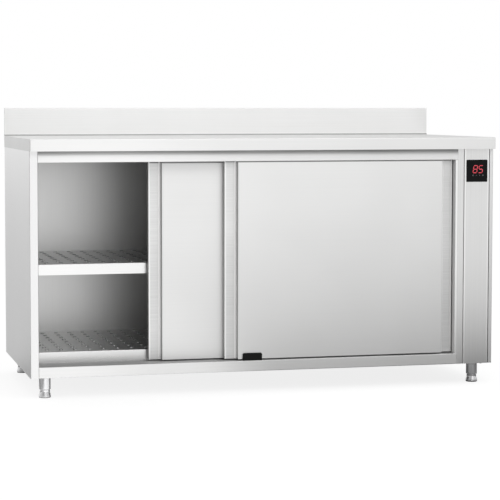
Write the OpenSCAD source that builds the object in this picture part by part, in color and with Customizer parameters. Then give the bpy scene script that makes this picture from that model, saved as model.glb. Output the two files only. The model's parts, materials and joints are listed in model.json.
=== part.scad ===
// Hot cupboard of folded stainless steel, with two sliding doors and a control column on the right.
// X runs to the right as seen from the front, Y to the back, Z up; the feet stand on Z = 0.

/* [Overall size] */
// Width over the worktop
cabinet_w = 1600; // [1450:10:1800]
// Depth over the worktop
cabinet_d = 700; // [640:10:800]
// Height of the work surface above the ground
worktop_h = 850; // [820:5:900]
// Height of the upstand above the work surface
upstand_h = 100; // [60:5:150]

/* [Worktop] */
// Height of the folded rim round the worktop
rim_h = 40; // [36:1:46]
// Sheet of the worktop
worktop_sheet = 1.2; // [1:0.1:1.5]
// Width of the flange folded in under the rim at the sides and the back
rim_flange = 12; // [9:1:13]
// Distance by which the worktop stands over the body at the front
overhang = 20; // [16:1:24]
// Distance by which the worktop stands over the body at the back
back_overhang = 5; // [4:0.5:8]
// Thickness of the upstand
upstand_t = 15; // [12:1:24]
// Radius of the cove between work surface and upstand
cove_r = 8; // [5:1:12]
// Outer radius of the worktop's folds
rim_r = 3; // [2:0.5:3]

/* [Body] */
// Sheet of the body's panels
sheet = 1; // [0.8:0.1:1.2]
// Outer radius of the panels' folds
fold_r = 2; // [1.5:0.1:2]
// Thickness of the double-skinned walls
wall = 28; // [26:1:34]
// Height of the body's underside above the ground
body_z = 70; // [68:1:85]
// Height of the bottom rail, from the underside to the floor of the chamber
base_h = 36; // [32:1:44]
// Height of the top rail under the worktop
top_rail_h = 37; // [36:1:40]
// Depth of the door jambs
jamb_d = 28; // [24:1:34]

/* [Control column] */
// Width of the post between the doorway and the service panel
post_w = 30; // [28:1:36]
// Width of the service panel
panel_w = 90; // [86:1:110]
// Seam on either side of the service panel
panel_gap = 1.5; // [1:0.1:2]
// Width of the right-hand edge beside the service panel
edge_w = 13; // [13:1:18]
// Depth of the flanges round the service panel
panel_return = 14; // [12:1:18]
// Side of the square touch glass
glass_size = 76; // [70:1:78]
// Distance of the glass's centre below the work surface
glass_drop = 115; // [100:1:160]

/* [Doors] */
// Thickness of a door
door_t = 38; // [36:1:42]
// Gap between the two doors
door_space = 6; // [6:0.5:9]
// Distance of the front door behind the face of the rails
door_setback = 6; // [5:0.5:8]
// Distance by which the closed doors overlap
door_overlap = 176; // [160:2:220]
// Gap that is left at a jamb when a door is closed
door_gap = 3; // [2:0.5:5]
// Distance by which the left door stands open
left_open = 374; // [0:1:520]
// Width of a finger grip
grip_w = 42; // [34:1:48]
// Depth of a finger grip
grip_d = 19; // [14:0.5:20]
// Gap between door and chamber floor
door_lift = 5; // [5:0.5:7]
// Distance of a hanger from the door's edge
hanger_inset = 120; // [80:5:200]

/* [Rollers] */
// Radius of the groove that runs on the track's lip
roller_r = 10; // [9:0.5:10.5]
// Width of a roller
roller_w = 10; // [9:0.5:11]
// Diameter of a roller's axle
axle_d = 6; // [5:0.5:7]
// Running clearance between axle and roller on the radius
axle_play = 0.05; // [0.02:0.01:0.1]

/* [Shelves] */
// Height of the middle shelf above the chamber floor
shelf_h = 328; // [322:2:400]
// Height of the shelves' folded lips
shelf_lip = 36; // [30:1:40]
// Distance of the shelves behind the rear door
shelf_setback = 11; // [9:1:40]
// Distance between holes along the shelf
hole_pitch_x = 48; // [40:1:60]
// Distance between holes across the shelf
hole_pitch_y = 64; // [50:1:80]
// Diameter of the holes
hole_d = 10; // [8:0.5:14]

/* [Legs] */
// Diameter of the leg tube
leg_d = 38; // [36:1:45]
// Distance of a leg from the side of the body
leg_inset_x = 53; // [46:1:70]
// Distance of a leg from the front or back of the body
leg_inset_y = 50; // [46:1:80]
// Height of a foot below the tube
foot_h = 28; // [24:1:32]
// Diameter of the foot on the ground
foot_d = 40; // [36:1:50]
// Diameter of the levelling screw
screw_d = 12; // [10:1:16]
// Distance by which a foot can be screwed out
foot_travel = 30; // [20:1:30]

/* [Air heater] */
// Diameter of the fan wheel
fan_d = 150; // [140:2:160]
// Width of the fan wheel
fan_w = 32; // [26:1:34]
// Number of blades
blade_count = 20; // [12:1:24]
// Radius of the heater's loop
heater_r = 92; // [88:1:96]
// Diameter of the heater's tube
heater_d = 8; // [6:0.5:9]

/* [Hidden] */
$fn = 48;

// Reach of a cutter past the face that it opens
cut = 1;
// Gap of loose seats
seat = 0.3;

// Main planes across the width
half_w = cabinet_w / 2;
x_open_l = -half_w + wall;
x_edge = half_w - edge_w;
x_post_r = x_edge - panel_w - 2 * panel_gap;
x_open_r = x_post_r - post_w;
x_mid = (x_open_l + x_open_r) / 2;
x_panel = x_post_r + panel_gap + panel_w / 2;
joggle_w = 8;
x_joggle = x_open_r + joggle_w;

// Main planes across the depth
half_d = cabinet_d / 2;
y_front = -half_d + overhang;
y_rear = half_d - back_overhang;
y_back_skin = y_rear - 2 * sheet;
y_liner = y_rear - wall;
y_door_front = y_front + door_setback;
y_door_rear = y_door_front + door_t + door_space;
y_door_back = y_door_rear + door_t;

// Main planes up the height
z_rim = worktop_h - rim_h;
z_under = worktop_h - worktop_sheet;
z_skin = body_z + sheet;
z_inside = body_z + 2 * sheet;
z_floor = body_z + base_h;
z_rail = z_rim - top_rail_h;
z_ceiling = z_rail + 14;

// Flanges that join the panels
rear_flange = 20;
seat_flange = 12;
rail_flange = 6;
rail_hem = 3.5;
base_flange = 12;

// Doors and their hangers
door_w = (x_open_r - x_open_l + door_overlap) / 2;
z_door = z_floor + door_lift;
z_door_top = z_rail + 12;
door_h = z_door_top - z_door;
x_left_door = x_open_l + door_gap + left_open;
x_right_door = x_open_r - door_gap - door_w;
hanger_w = 40;
hanger_t = 3;
hanger_y = 7;
roller_gap = 2;
roller_y = hanger_y + hanger_t + roller_gap;
roller_flange = 3;
groove_w = 4;
lip_t = 2;
track_t = 2;
track_drop = 5;
lip_y = roller_y + roller_w / 2;
web_y = lip_y + 14;
z_lip = z_door_top + hanger_t + 5 + track_t + track_drop;
z_axle = z_lip + roller_r + seat;
z_track = z_axle + roller_r + roller_flange + 5;
y_track_end = y_door_back + 3;
stop_l = 16;

// Floor guide
guide_w = 66;
guide_h = 25;
guide_plate = 3.5;
guide_fin = 4;
guide_r = 5;

// Shelves
shelf_gap = 1;
y_shelf = y_door_back + shelf_setback;
z_shelf = z_floor + shelf_h;
bracket_w = 25;
bracket_t = 1.5;

// Air heater behind the divider
duct = 220;
duct_flange = 15;
duct_d = 54;
fan_y = (y_shelf + y_liner) / 2;
fan_h = 162;
z_fan = z_floor + fan_h;
fan_rim = 8;
inlet_d = fan_d - 2 * fan_rim;
fan_gap = 6;
x_fan = x_post_r + fan_gap;
x_duct = x_post_r + duct_d;
shaft_d = 8;
slot_w = 8;
slot_h = 170;
slot_rows = [86, 102];

// Control parts
glass_t = 1.5;
z_glass = worktop_h - glass_drop;
glass_lap = 3.5;
housing = glass_size - 2 * glass_lap;
housing_d = 45;
board = [1.6, 100, 140];
board_post = 8;
board_edge = 8;
board_gap = 24;
board_setback = 50;
y_board = y_front + housing_d + board_setback;
z_board = z_glass - housing / 2 - board_gap - board[2];
probe_d = 6;
probe_gap = 40;
probe_y = y_board + board[1] + probe_gap;
z_probe = z_board + board[2] / 2;
terminal = [22, 44, 60];
terminal_back = 95;
terminal_h = 50;
y_terminal = y_rear - terminal_back;
z_terminal = z_floor + terminal_h;
x_gland = x_panel;
gland_back = 155;
y_gland = y_rear - gland_back;
gland_bore = 10;
gland_d = 20;
screw_head_d = 8;
screw_head_t = 2;
screw_shank = 4;

// Legs
leg_points = [
  [-half_w + leg_inset_x, y_front + leg_inset_y],
  [half_w - leg_inset_x, y_front + leg_inset_y],
  [-half_w + leg_inset_x, y_rear - leg_inset_y],
  [half_w - leg_inset_x, y_rear - leg_inset_y]
];
leg_plate = 64;
leg_plate_t = 2;
plug_h = 14;

// Box from its low corner to its high corner
module block(low, high) {
  translate(low) cube(high - low);
}

// Outline extruded along X, with its own x on Y and its own y on Z
module along_x(x0, x1) {
  translate([x0, 0, 0]) rotate([90, 0, 90]) linear_extrude(x1 - x0) children();
}

// Waste of a rounded corner whose material lies on the side of the signs sx and sy
module corner_waste(r, sx, sy) {
  difference() {
    translate([sx > 0 ? -cut : -r, sy > 0 ? -cut : -r]) square(r + cut);
    translate([sx * r, sy * r]) circle(r);
  }
}

// Cutter for an upright fold
module fold_z(x, y, sx, sy, z0, z1, r = fold_r) {
  translate([x, y, z0 - cut]) linear_extrude(z1 - z0 + 2 * cut) corner_waste(r, sx, sy);
}

// Cutter for a fold that runs along X
module fold_x(y, z, sy, sz, x0, x1, r = fold_r) {
  along_x(x0 - cut, x1 + cut) translate([y, z]) corner_waste(r, sy, sz);
}

// Cutter for a fold that runs along Y
module fold_y(x, z, sx, sz, y0, y1, r = fold_r) {
  translate([x, y1 + cut, z]) rotate([90, 0, 0]) linear_extrude(y1 - y0 + 2 * cut) corner_waste(r, sx, sz);
}

// Cross-recessed screw with its head on Z = 0 and its shank downwards
module screw(shank_l) {
  recess_w = 1.2;
  recess_l = 4.4;
  difference() {
    cylinder(d = screw_head_d, h = screw_head_t);
    for (a = [0, 90])
      rotate([0, 0, a])
        translate([-recess_l / 2, -recess_w / 2, screw_head_t / 2])
          cube([recess_l, recess_w, screw_head_t]);
  }
  translate([0, 0, -shank_l]) cylinder(d = screw_shank, h = shank_l);
}

// Side view of the worktop with its upstand
module worktop_section() {
  y_up = half_d - upstand_t;
  difference() {
    union() {
      translate([-half_d, z_rim]) square([cabinet_d, rim_h]);
      translate([y_up, z_rim]) square([upstand_t, rim_h + upstand_h]);
      translate([y_up - cove_r, worktop_h])
        difference() {
          translate([0, -cut]) square([cove_r + cut, cove_r + cut]);
          translate([0, cove_r]) circle(cove_r);
        }
    }
    translate([-half_d, worktop_h]) corner_waste(rim_r, 1, -1);
    translate([y_up, worktop_h + upstand_h]) corner_waste(rim_r, 1, -1);
  }
}

module worktop() {
  inner = worktop_sheet;
  y_up = half_d - upstand_t;
  color("gainsboro")
    difference() {
      along_x(-half_w, half_w) worktop_section();
      block([-half_w + inner, -half_d + inner, z_rim + inner], [half_w - inner, half_d - inner, z_under]);
      block([-half_w + inner, y_up + inner, z_under - cut],
        [half_w - inner, half_d - inner, worktop_h + upstand_h - inner]);
      block([-half_w + rim_flange, y_front + rail_flange, z_rim - cut],
        [half_w - rim_flange, half_d - rim_flange, z_rim + inner + cut]);
      for (s = [-1, 1])
        fold_z(s * half_w, -half_d, -s, 1, z_rim, worktop_h, fold_r);
    }
}

// Rails under the work surface; the front one carries the door track
module worktop_braces() {
  brace_t = 1.5;
  brace_w = 70;
  y_first = (y_door_front + y_track_end - brace_w) / 2;
  y_last = y_liner - 2 * brace_w;
  color("silver")
    for (y = [y_first, (y_first + y_last) / 2, y_last])
      difference() {
        block([x_open_l, y, z_track + track_t], [x_open_r, y + brace_w, z_under]);
        block([x_open_l - cut, y + brace_t, z_track + track_t + brace_t],
          [x_open_r + cut, y + brace_w - brace_t, z_under - brace_t]);
      }
}

// Folded side of the body, drawn at the left; the front face is followed by a return
module side_skin(face_w, return_d) {
  difference() {
    union() {
      block([-half_w, y_front, body_z], [-half_w + sheet, y_rear, z_rim]);
      block([-half_w, y_front, body_z], [-half_w + face_w, y_front + sheet, z_rim]);
      block([-half_w + face_w - sheet, y_front, z_inside], [-half_w + face_w, y_front + return_d, z_rim]);
      block([-half_w, y_rear - sheet, body_z], [-half_w + rear_flange, y_rear, z_rim]);
      for (z = [body_z, z_rim - sheet])
        block([-half_w, y_front, z], [-half_w + seat_flange, y_rear, z + sheet]);
    }
    fold_z(-half_w, y_front, 1, 1, body_z, z_rim);
    fold_z(-half_w + face_w, y_front, -1, 1, body_z, z_rim);
    fold_z(-half_w, y_rear, 1, -1, body_z, z_rim);
    back_screw_holes();
  }
}

module left_side_skin() {
  color("silver") side_skin(wall, jamb_d);
}

module right_side_skin() {
  color("silver") mirror([1, 0, 0]) side_skin(edge_w, panel_return);
}

module left_side_liner() {
  color("silver")
    block([x_open_l - sheet, y_front + jamb_d, z_inside], [x_open_l, y_liner, z_ceiling]);
}

module left_side_insulation() {
  color("khaki")
    block([-half_w + sheet, y_front + sheet, z_inside], [x_open_l - sheet, y_back_skin, z_rim - sheet]);
}

// Post between doorway and service panel, stepped back where the rails lap over it
module right_post() {
  color("silver")
    difference() {
      union() {
        block([x_joggle, y_front, body_z], [x_post_r, y_front + sheet, z_rim]);
        block([x_open_r, y_front + sheet, z_inside], [x_joggle + 2 * sheet, y_front + 2 * sheet, z_rim]);
        block([x_open_r, y_front + sheet, z_inside], [x_open_r + sheet, y_front + jamb_d, z_rim]);
        block([x_post_r - sheet, y_front, z_inside], [x_post_r, y_front + panel_return, z_rim]);
      }
      fold_z(x_post_r, y_front, -1, 1, body_z, z_rim);
      fold_z(x_open_r, y_front + sheet, 1, 1, body_z, z_rim);
    }
}

// Bore through the divider for the temperature probe
module probe_hole() {
  translate([x_open_r - cut, probe_y, z_probe])
    rotate([0, 90, 0]) cylinder(d = probe_d + 2 * seat, h = post_w + 2 * cut);
}

// Opening of the air heater through the divider
module duct_window(x0, x1, grow = 0) {
  side = duct / 2 - sheet + grow;
  block([x0, fan_y - side, z_fan - side], [x1, fan_y + side, z_fan + side]);
}

// Chamber side of the divider, with the fan's inlet and the warm air slots
module divider_liner() {
  color("silver")
    difference() {
      block([x_open_r, y_front + jamb_d, z_inside], [x_open_r + sheet, y_liner, z_ceiling]);
      translate([x_open_r - cut, fan_y, z_fan]) rotate([0, 90, 0]) cylinder(d = inlet_d, h = sheet + 2 * cut);
      for (s = [-1, 1], r = slot_rows)
        translate([x_open_r - cut, fan_y + s * r - slot_w / 2, z_fan - slot_h / 2])
          cube([sheet + 2 * cut, slot_w, slot_h]);
      probe_hole();
    }
}

module divider_insulation() {
  color("khaki")
    difference() {
      block([x_open_r + sheet, y_front + 2 * sheet, z_inside],
        [x_post_r - sheet, y_liner + sheet, z_rim - sheet]);
      duct_window(x_open_r, x_post_r);
      probe_hole();
    }
}

// Service side of the divider
module divider_panel() {
  color("silver")
    difference() {
      block([x_post_r - sheet, y_front + panel_return, z_inside], [x_post_r, y_back_skin, z_rim - sheet]);
      duct_window(x_post_r - sheet - cut, x_post_r + cut);
      probe_hole();
    }
}

// Places of the screws that hold the back skin
back_screw_x = [-half_w + rear_flange / 2, half_w - rear_flange / 2];
back_screw_z = [for (i = [0:4]) body_z + 50 + i * (z_rim - body_z - 100) / 4];

module back_screw_holes() {
  for (x = back_screw_x, z = back_screw_z)
    translate([x, y_rear + cut, z])
      rotate([90, 0, 0]) cylinder(d = screw_shank + seat, h = 2 * sheet + 2 * cut);
}

// Back of the body, with louvre slots behind the control column
module back_skin() {
  vent_l = 50;
  vent_w = 5;
  vent_pitch = 16;
  color("silver")
    difference() {
      block([-half_w + sheet, y_back_skin, z_skin + sheet], [half_w - sheet, y_rear - sheet, z_rim - sheet]);
      back_screw_holes();
      for (i = [0:5])
        translate([x_panel - vent_l / 2, y_back_skin - cut, z_rail - 60 - i * vent_pitch])
          cube([vent_l, sheet + 2 * cut, vent_w]);
    }
}

module back_liner() {
  color("silver")
    block([x_open_l - sheet, y_liner, z_inside], [x_open_r + sheet, y_liner + sheet, z_ceiling]);
}

module back_insulation() {
  color("khaki")
    block([x_open_l - sheet, y_liner + sheet, z_inside], [x_post_r - sheet, y_back_skin, z_rim - sheet]);
}

module back_screws() {
  color("gray")
    for (x = back_screw_x, z = back_screw_z)
      translate([x, y_rear, z]) rotate([-90, 0, 0]) screw(2 * sheet);
}

// Places of the screws under the service panel
panel_screw_x = [x_panel - panel_w / 4, x_panel + panel_w / 4];
panel_screw_y = y_front + panel_return / 2 + sheet;

module panel_screw_holes() {
  for (x = panel_screw_x)
    translate([x, panel_screw_y, body_z - cut]) cylinder(d = screw_shank + seat, h = 2 * sheet + 2 * cut);
}

module base_skin() {
  color("silver")
    difference() {
      block([-half_w + sheet, y_front + sheet, z_skin], [half_w - sheet, y_rear - sheet, z_inside]);
      panel_screw_holes();
      translate([x_gland, y_gland, z_skin - cut]) cylinder(d = gland_d + seat, h = sheet + 2 * cut);
    }
}

// Floor of the chamber, folded down in front to make the bottom rail
module floor_pan() {
  color("silver")
    difference() {
      union() {
        block([x_open_l, y_front, z_floor - sheet], [x_open_r, y_liner, z_floor]);
        block([x_open_l, y_front, body_z], [x_joggle - seat, y_front + sheet, z_floor]);
        block([x_open_l, y_front, body_z], [x_open_r, y_front + base_flange, z_skin]);
      }
      fold_x(y_front, z_floor, 1, -1, x_open_l, x_joggle);
      fold_x(y_front, body_z, 1, 1, x_open_l, x_joggle);
    }
}

module base_insulation() {
  color("khaki")
    block([x_open_l, y_front + sheet, z_inside], [x_open_r, y_liner, z_floor - sheet]);
}

// Ceiling of the chamber, folded up behind the door track
module ceiling_liner() {
  color("silver")
    union() {
      block([x_open_l, y_track_end - sheet, z_ceiling], [x_open_r, y_liner + sheet, z_ceiling + sheet]);
      block([x_open_l, y_track_end - sheet, z_ceiling], [x_open_r, y_track_end, z_track]);
    }
}

module ceiling_insulation() {
  color("khaki")
    block([x_open_l, y_track_end, z_ceiling + sheet], [x_open_r, y_liner + sheet, z_track + track_t]);
}

module top_rail() {
  color("gainsboro")
    difference() {
      union() {
        block([x_open_l, y_front, z_rail], [x_joggle - seat, y_front + sheet, z_rim]);
        block([x_open_l, y_front, z_rim - sheet], [x_open_r, y_front + rail_flange, z_rim]);
        block([x_open_l, y_front, z_rail], [x_open_r, y_front + rail_hem, z_rail + sheet]);
      }
      fold_x(y_front, z_rail, 1, 1, x_open_l, x_joggle);
    }
}

// Twin track: a top plate with a hooked rail for each door, whose lip carries the rollers
module door_track() {
  color("darkgray")
    along_x(x_open_l, x_open_r) {
      translate([y_door_front, z_track]) square([y_track_end - y_door_front, track_t]);
      for (y = [y_door_front, y_door_rear]) {
        translate([y + web_y, z_lip - track_drop - track_t])
          square([track_t, z_track - z_lip + track_drop + 2 * track_t]);
        translate([y + lip_y - lip_t / 2, z_lip - track_drop - track_t])
          square([web_y - lip_y + lip_t / 2 + track_t, track_t]);
        translate([y + lip_y - lip_t / 2, z_lip - track_drop - track_t])
          square([lip_t, track_drop + track_t]);
      }
    }
}

// Rubber blocks under the track that the hangers meet at the ends of the doors' travel
module door_stops() {
  reach = hanger_inset - hanger_w / 2 + door_gap - seat;
  color("dimgray")
    for (y = [y_door_front, y_door_rear], x = [x_open_l + reach - stop_l, x_open_r - reach])
      block([x, y + hanger_y - 2, z_axle + 2], [x + stop_l, y + hanger_y + hanger_t + 1, z_track]);
}

// Guide in the middle of the doorway, with a fin in front of, between and behind the doors
module floor_guide() {
  low = x_mid - guide_w / 2;
  high = x_mid + guide_w / 2;
  fins = [y_front, y_door_rear - (door_space + guide_fin) / 2, y_door_back + 1];
  rear = y_door_back + 1 + guide_fin;
  color("black")
    difference() {
      union() {
        block([low, y_front, z_floor], [high, rear, z_floor + guide_plate]);
        for (y = fins)
          block([low, y, z_floor], [high, y + guide_fin, z_floor + guide_h]);
      }
      fold_y(low, z_floor + guide_h, 1, -1, y_front, rear, guide_r);
      fold_y(high, z_floor + guide_h, -1, -1, y_front, rear, guide_r);
    }
}

// Perforated shelf with its lips folded down all round
module shelf(z_top) {
  low = [x_open_l + shelf_gap, y_shelf];
  high = [x_open_r - shelf_gap, y_liner - shelf_gap];
  columns = floor((high[0] - low[0] - hole_pitch_x) / hole_pitch_x);
  rows = floor((high[1] - low[1] - hole_pitch_y) / hole_pitch_y);
  x0 = (low[0] + high[0] - columns * hole_pitch_x) / 2;
  y0 = (low[1] + high[1] - rows * hole_pitch_y) / 2;
  difference() {
    block([low[0], low[1], z_top - shelf_lip], [high[0], high[1], z_top]);
    block([low[0] + sheet, low[1] + sheet, z_top - shelf_lip - cut],
      [high[0] - sheet, high[1] - sheet, z_top - sheet]);
    for (i = [0:columns], j = [0:rows])
      translate([x0 + i * hole_pitch_x, y0 + j * hole_pitch_y, z_top - sheet - cut])
        cylinder(d = hole_d, h = sheet + 2 * cut);
    fold_x(low[1], z_top, 1, -1, low[0], high[0]);
  }
}

module base_shelf() {
  color("silver") shelf(z_floor + shelf_lip);
}

module mid_shelf() {
  color("silver") shelf(z_shelf);
}

// Angle strips on the two side walls under the middle shelf
module shelf_brackets() {
  z_seat = z_shelf - shelf_lip;
  y0 = y_shelf + 10;
  y1 = y_liner - 10;
  color("gray")
    for (side = [[x_open_l, 1], [x_open_r, -1]])
      translate([side[0], 0, 0])
        mirror([side[1] > 0 ? 0 : 1, 0, 0]) {
          block([0, y0, z_seat - bracket_w], [bracket_t, y1, z_seat]);
          block([0, y0, z_seat - bracket_t], [bracket_w, y1, z_seat]);
        }
}

// Removable front of the control column, flanged all round
module service_panel() {
  low = x_panel - panel_w / 2;
  high = x_panel + panel_w / 2;
  top = z_rim - seat;
  deep = y_front + panel_return;
  color("gainsboro")
    difference() {
      union() {
        block([low, y_front, body_z], [high, y_front + sheet, top]);
        block([low, y_front, body_z], [high, deep, z_skin]);
        block([low, y_front, top - sheet], [high, deep, top]);
        block([low, y_front, z_inside + seat], [low + sheet, deep, top]);
        block([high - sheet, y_front, z_inside + seat], [high, deep, top]);
      }
      fold_z(low, y_front, 1, 1, body_z, top);
      fold_z(high, y_front, -1, 1, body_z, top);
      block([x_panel - housing / 2 - seat, y_front - cut, z_glass - housing / 2 - seat],
        [x_panel + housing / 2 + seat, y_front + sheet + cut, z_glass + housing / 2 + seat]);
      panel_screw_holes();
    }
}

module service_panel_screws() {
  color("gray")
    for (x = panel_screw_x)
      translate([x, panel_screw_y, body_z]) rotate([180, 0, 0]) screw(2 * sheet);
}

module controller_glass() {
  r = 3;
  half = glass_size / 2;
  color("black")
    difference() {
      block([x_panel - half, y_front - glass_t, z_glass - half], [x_panel + half, y_front, z_glass + half]);
      for (s = [-1, 1], t = [-1, 1])
        fold_y(x_panel + s * half, z_glass + t * half, -s, -t, y_front - glass_t, y_front, r);
    }
}

// Housing of the controller, with clip ridges behind the panel
module controller_housing() {
  ridge = 3;
  color("dimgray")
    union() {
      block([x_panel - housing / 2, y_front, z_glass - housing / 2],
        [x_panel + housing / 2, y_front + housing_d, z_glass + housing / 2]);
      for (s = [-1, 1])
        block([x_panel - housing / 2, y_front + sheet + seat, z_glass + s * housing / 2 - ridge],
          [x_panel + housing / 2, y_front + sheet + seat + ridge, z_glass + s * housing / 2 + ridge]);
    }
}

// Board with the relays and the transformer, on four posts against the divider
module relay_board() {
  post_d = 6;
  margin = 20;
  transformer = [32, 40, 46];
  relay = [16, 20, 28];
  relay_gap = 8;
  plug_row = [14, 44, 12];
  inner = board_edge + post_d;
  corner = [x_post_r + board_post, y_board, z_board];
  face = corner + [board[0], 0, 0];
  color("darkgreen")
    union() {
      translate(corner) cube(board);
      for (y = [board_edge, board[1] - board_edge], z = [board_edge, board[2] - board_edge])
        translate(corner + [-board_post, y, z]) rotate([0, 90, 0]) cylinder(d = post_d, h = board_post);
      translate(face + [0, inner, margin]) cube(transformer);
      for (i = [0:2])
        translate(face + [0, board[1] - 2 * board_edge - relay[1], margin + i * (relay[2] + relay_gap)])
          cube(relay);
      translate(face + [0, inner, board[2] - plug_row[2] - 2 * inner]) cube(plug_row);
    }
}

// Rounded quarter bend of a cable in the plane of its two axes
module cable_bend(d, r) {
  rotate_extrude(angle = 90) translate([r, 0]) circle(d = d);
}

// Terminal block above the gland, on the service side of the divider
module terminal_block() {
  slot = 2;
  color("ivory")
    translate([x_post_r, y_terminal - terminal[1] / 2, z_terminal])
      difference() {
        cube(terminal);
        for (i = [1:3])
          translate([terminal[0] - 2 * slot, i * terminal[1] / 4 - slot / 2, -cut])
            cube([2 * slot + cut, slot, terminal[2] + 2 * cut]);
      }
}

// Cables: from the terminal block up to the board, and from the board up to the controller
module wiring_loom() {
  d = 7;
  r = 16;
  lead = 30;
  x_mains = x_post_r + terminal[0] / 3;
  x_signal = x_post_r + 2 * board_post;
  y_edge = y_board + board[1];
  y_signal = y_edge + r + seat;
  z_mains = z_board + lead;
  z_signal = z_board + board[2] - lead;
  color("dimgray") {
    translate([x_mains, y_terminal, z_terminal + terminal[2]])
      cylinder(d = d, h = z_mains - r - z_terminal - terminal[2]);
    translate([x_mains, y_terminal - r, z_mains - r]) rotate([90, 0, 90]) cable_bend(d, r);
    translate([x_mains, y_terminal - r, z_mains])
      rotate([90, 0, 0]) cylinder(d = d, h = y_terminal - r - y_edge - seat);
    translate([x_signal, y_signal, z_signal + r]) rotate([90, 0, 90]) rotate([0, 0, -90]) cable_bend(d, r);
    translate([x_signal, y_signal + r, z_signal + r]) cylinder(d = d, h = z_glass - z_signal - 2 * r);
    translate([x_signal, y_signal, z_glass - r]) rotate([90, 0, 90]) cable_bend(d, r);
    translate([x_signal, y_signal, z_glass])
      rotate([90, 0, 0]) cylinder(d = d, h = y_signal - y_front - housing_d - seat);
  }
}

// Cable gland through the underside, with its nut inside
module cable_gland() {
  hex = 27;
  hex_t = 5;
  dome_l = 12;
  thread_l = 10;
  z_low = z_skin - hex_t - dome_l;
  z_high = z_inside + thread_l;
  color("black")
    translate([x_gland, y_gland, 0])
      difference() {
        union() {
          translate([0, 0, z_low]) cylinder(d = gland_d + 3, h = dome_l);
          translate([0, 0, z_skin - hex_t]) cylinder(d = hex, h = hex_t, $fn = 6);
          translate([0, 0, z_skin - hex_t]) cylinder(d = gland_d, h = z_high - z_skin + hex_t);
          translate([0, 0, z_inside]) cylinder(d = hex, h = hex_t, $fn = 6);
        }
        translate([0, 0, z_low - cut]) cylinder(d = gland_bore, h = z_high - z_low + 2 * cut);
      }
}

// Places where the heater's two ends pass the air box
heater_gap = 40;
heater_ends = [heater_gap / 2, 360 - heater_gap / 2];

// Air box over the fan and the heater, on the service side of the divider
module air_box() {
  out = duct / 2;
  rim = out + duct_flange;
  x_heater = x_duct - sheet - cut;
  color("silver")
    difference() {
      union() {
        block([x_post_r, fan_y - out, z_fan - out], [x_duct, fan_y + out, z_fan + out]);
        block([x_post_r, fan_y - rim, z_fan - rim], [x_post_r + sheet, fan_y + rim, z_fan + rim]);
      }
      duct_window(x_post_r - cut, x_duct - sheet);
      translate([x_heater, fan_y, z_fan]) rotate([0, 90, 0]) cylinder(d = shaft_d + 4, h = sheet + 2 * cut);
      for (a = heater_ends)
        translate([x_heater, fan_y - heater_r * sin(a), z_fan + heater_r * cos(a)])
          rotate([0, 90, 0]) cylinder(d = heater_d + 2 * seat, h = sheet + 2 * cut);
    }
}

// Finger guard over the fan's inlet, with the collar that leads the air to the wheel
module inlet_grille() {
  guard_t = 3;
  bar = 3;
  rings = 3;
  collar_t = 1;
  collar_r = inlet_d / 2 - seat;
  collar_l = guard_t + x_fan - x_open_r - 3;
  flange_r = collar_r + 5;
  step = collar_r / (rings + 1);
  color("gray")
    translate([x_open_r - guard_t, fan_y, z_fan])
      rotate([0, 90, 0]) {
        rotate_extrude()
          polygon([
            [collar_r - collar_t, 0], [flange_r, 0], [flange_r, guard_t],
            [collar_r, guard_t], [collar_r, collar_l], [collar_r - collar_t, collar_l]
          ]);
        linear_extrude(guard_t) {
          for (i = [1:rings])
            difference() {
              circle(i * step + bar / 2);
              circle(i * step - bar / 2);
            }
          for (a = [0, 60, 120])
            rotate(a) square([2 * collar_r + bar, bar], center = true);
        }
      }
}

module fan_motor() {
  motor_d = 70;
  motor_l = 38;
  foot_plate = 2;
  boss_d = 24;
  boss_l = 4;
  color("dimgray")
    translate([x_duct, fan_y, z_fan])
      rotate([0, 90, 0])
        difference() {
          union() {
            cylinder(d = motor_d + 14, h = foot_plate);
            cylinder(d = motor_d, h = foot_plate + motor_l);
            cylinder(d = boss_d, h = foot_plate + motor_l + boss_l);
          }
          translate([0, 0, -cut]) cylinder(d = shaft_d + 2 * axle_play, h = motor_l);
        }
}

// Outline of one fan blade, a short arc set at a slant
module blade_outline() {
  blade_r = 18;
  blade_t = 1.2;
  middle = fan_d / 2 - 9;
  translate([middle, 0])
    rotate(-30)
      intersection() {
        translate([0, -blade_r])
          difference() {
            circle(blade_r + blade_t / 2);
            circle(blade_r - blade_t / 2);
          }
        translate([-9, -12]) square([18, 14]);
      }
}

// Radial fan wheel with its shaft
module fan_impeller() {
  plate = 1.5;
  hub_d = 26;
  hub_l = 16;
  rim_w = 18;
  in_motor = 30;
  color("lightgray")
    translate([x_fan, fan_y, z_fan])
      rotate([0, 90, 0]) {
        translate([0, 0, fan_w - plate]) cylinder(d = fan_d, h = plate);
        difference() {
          cylinder(d = fan_d, h = plate);
          translate([0, 0, -cut]) cylinder(d = fan_d - 2 * rim_w, h = plate + 2 * cut);
        }
        for (i = [0:blade_count - 1])
          rotate([0, 0, i * 360 / blade_count]) linear_extrude(fan_w) blade_outline();
        translate([0, 0, fan_w - hub_l]) cylinder(d = hub_d, h = hub_l);
        translate([0, 0, fan_w - hub_l]) cylinder(d = shaft_d, h = x_duct - x_fan - fan_w + hub_l + in_motor);
      }
}

// Tubular heater bent to an open loop round the fan, its ends leading out through the air box
module heater_element() {
  x_loop = x_fan + fan_w / 2;
  lead = x_duct - x_loop + 10;
  collar = 12;
  color("dimgray")
    translate([x_loop, fan_y, z_fan])
      rotate([0, 90, 0]) {
        rotate([0, 0, heater_ends[0] + 180])
          rotate_extrude(angle = 360 - heater_gap) translate([heater_r, 0]) circle(d = heater_d);
        for (a = heater_ends)
          rotate([0, 0, a + 180])
            translate([heater_r, 0, 0]) {
              sphere(d = heater_d + 2 * seat);
              cylinder(d = heater_d, h = lead);
              translate([0, 0, x_duct - x_loop]) cylinder(d = collar, h = 6);
            }
      }
}

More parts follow.
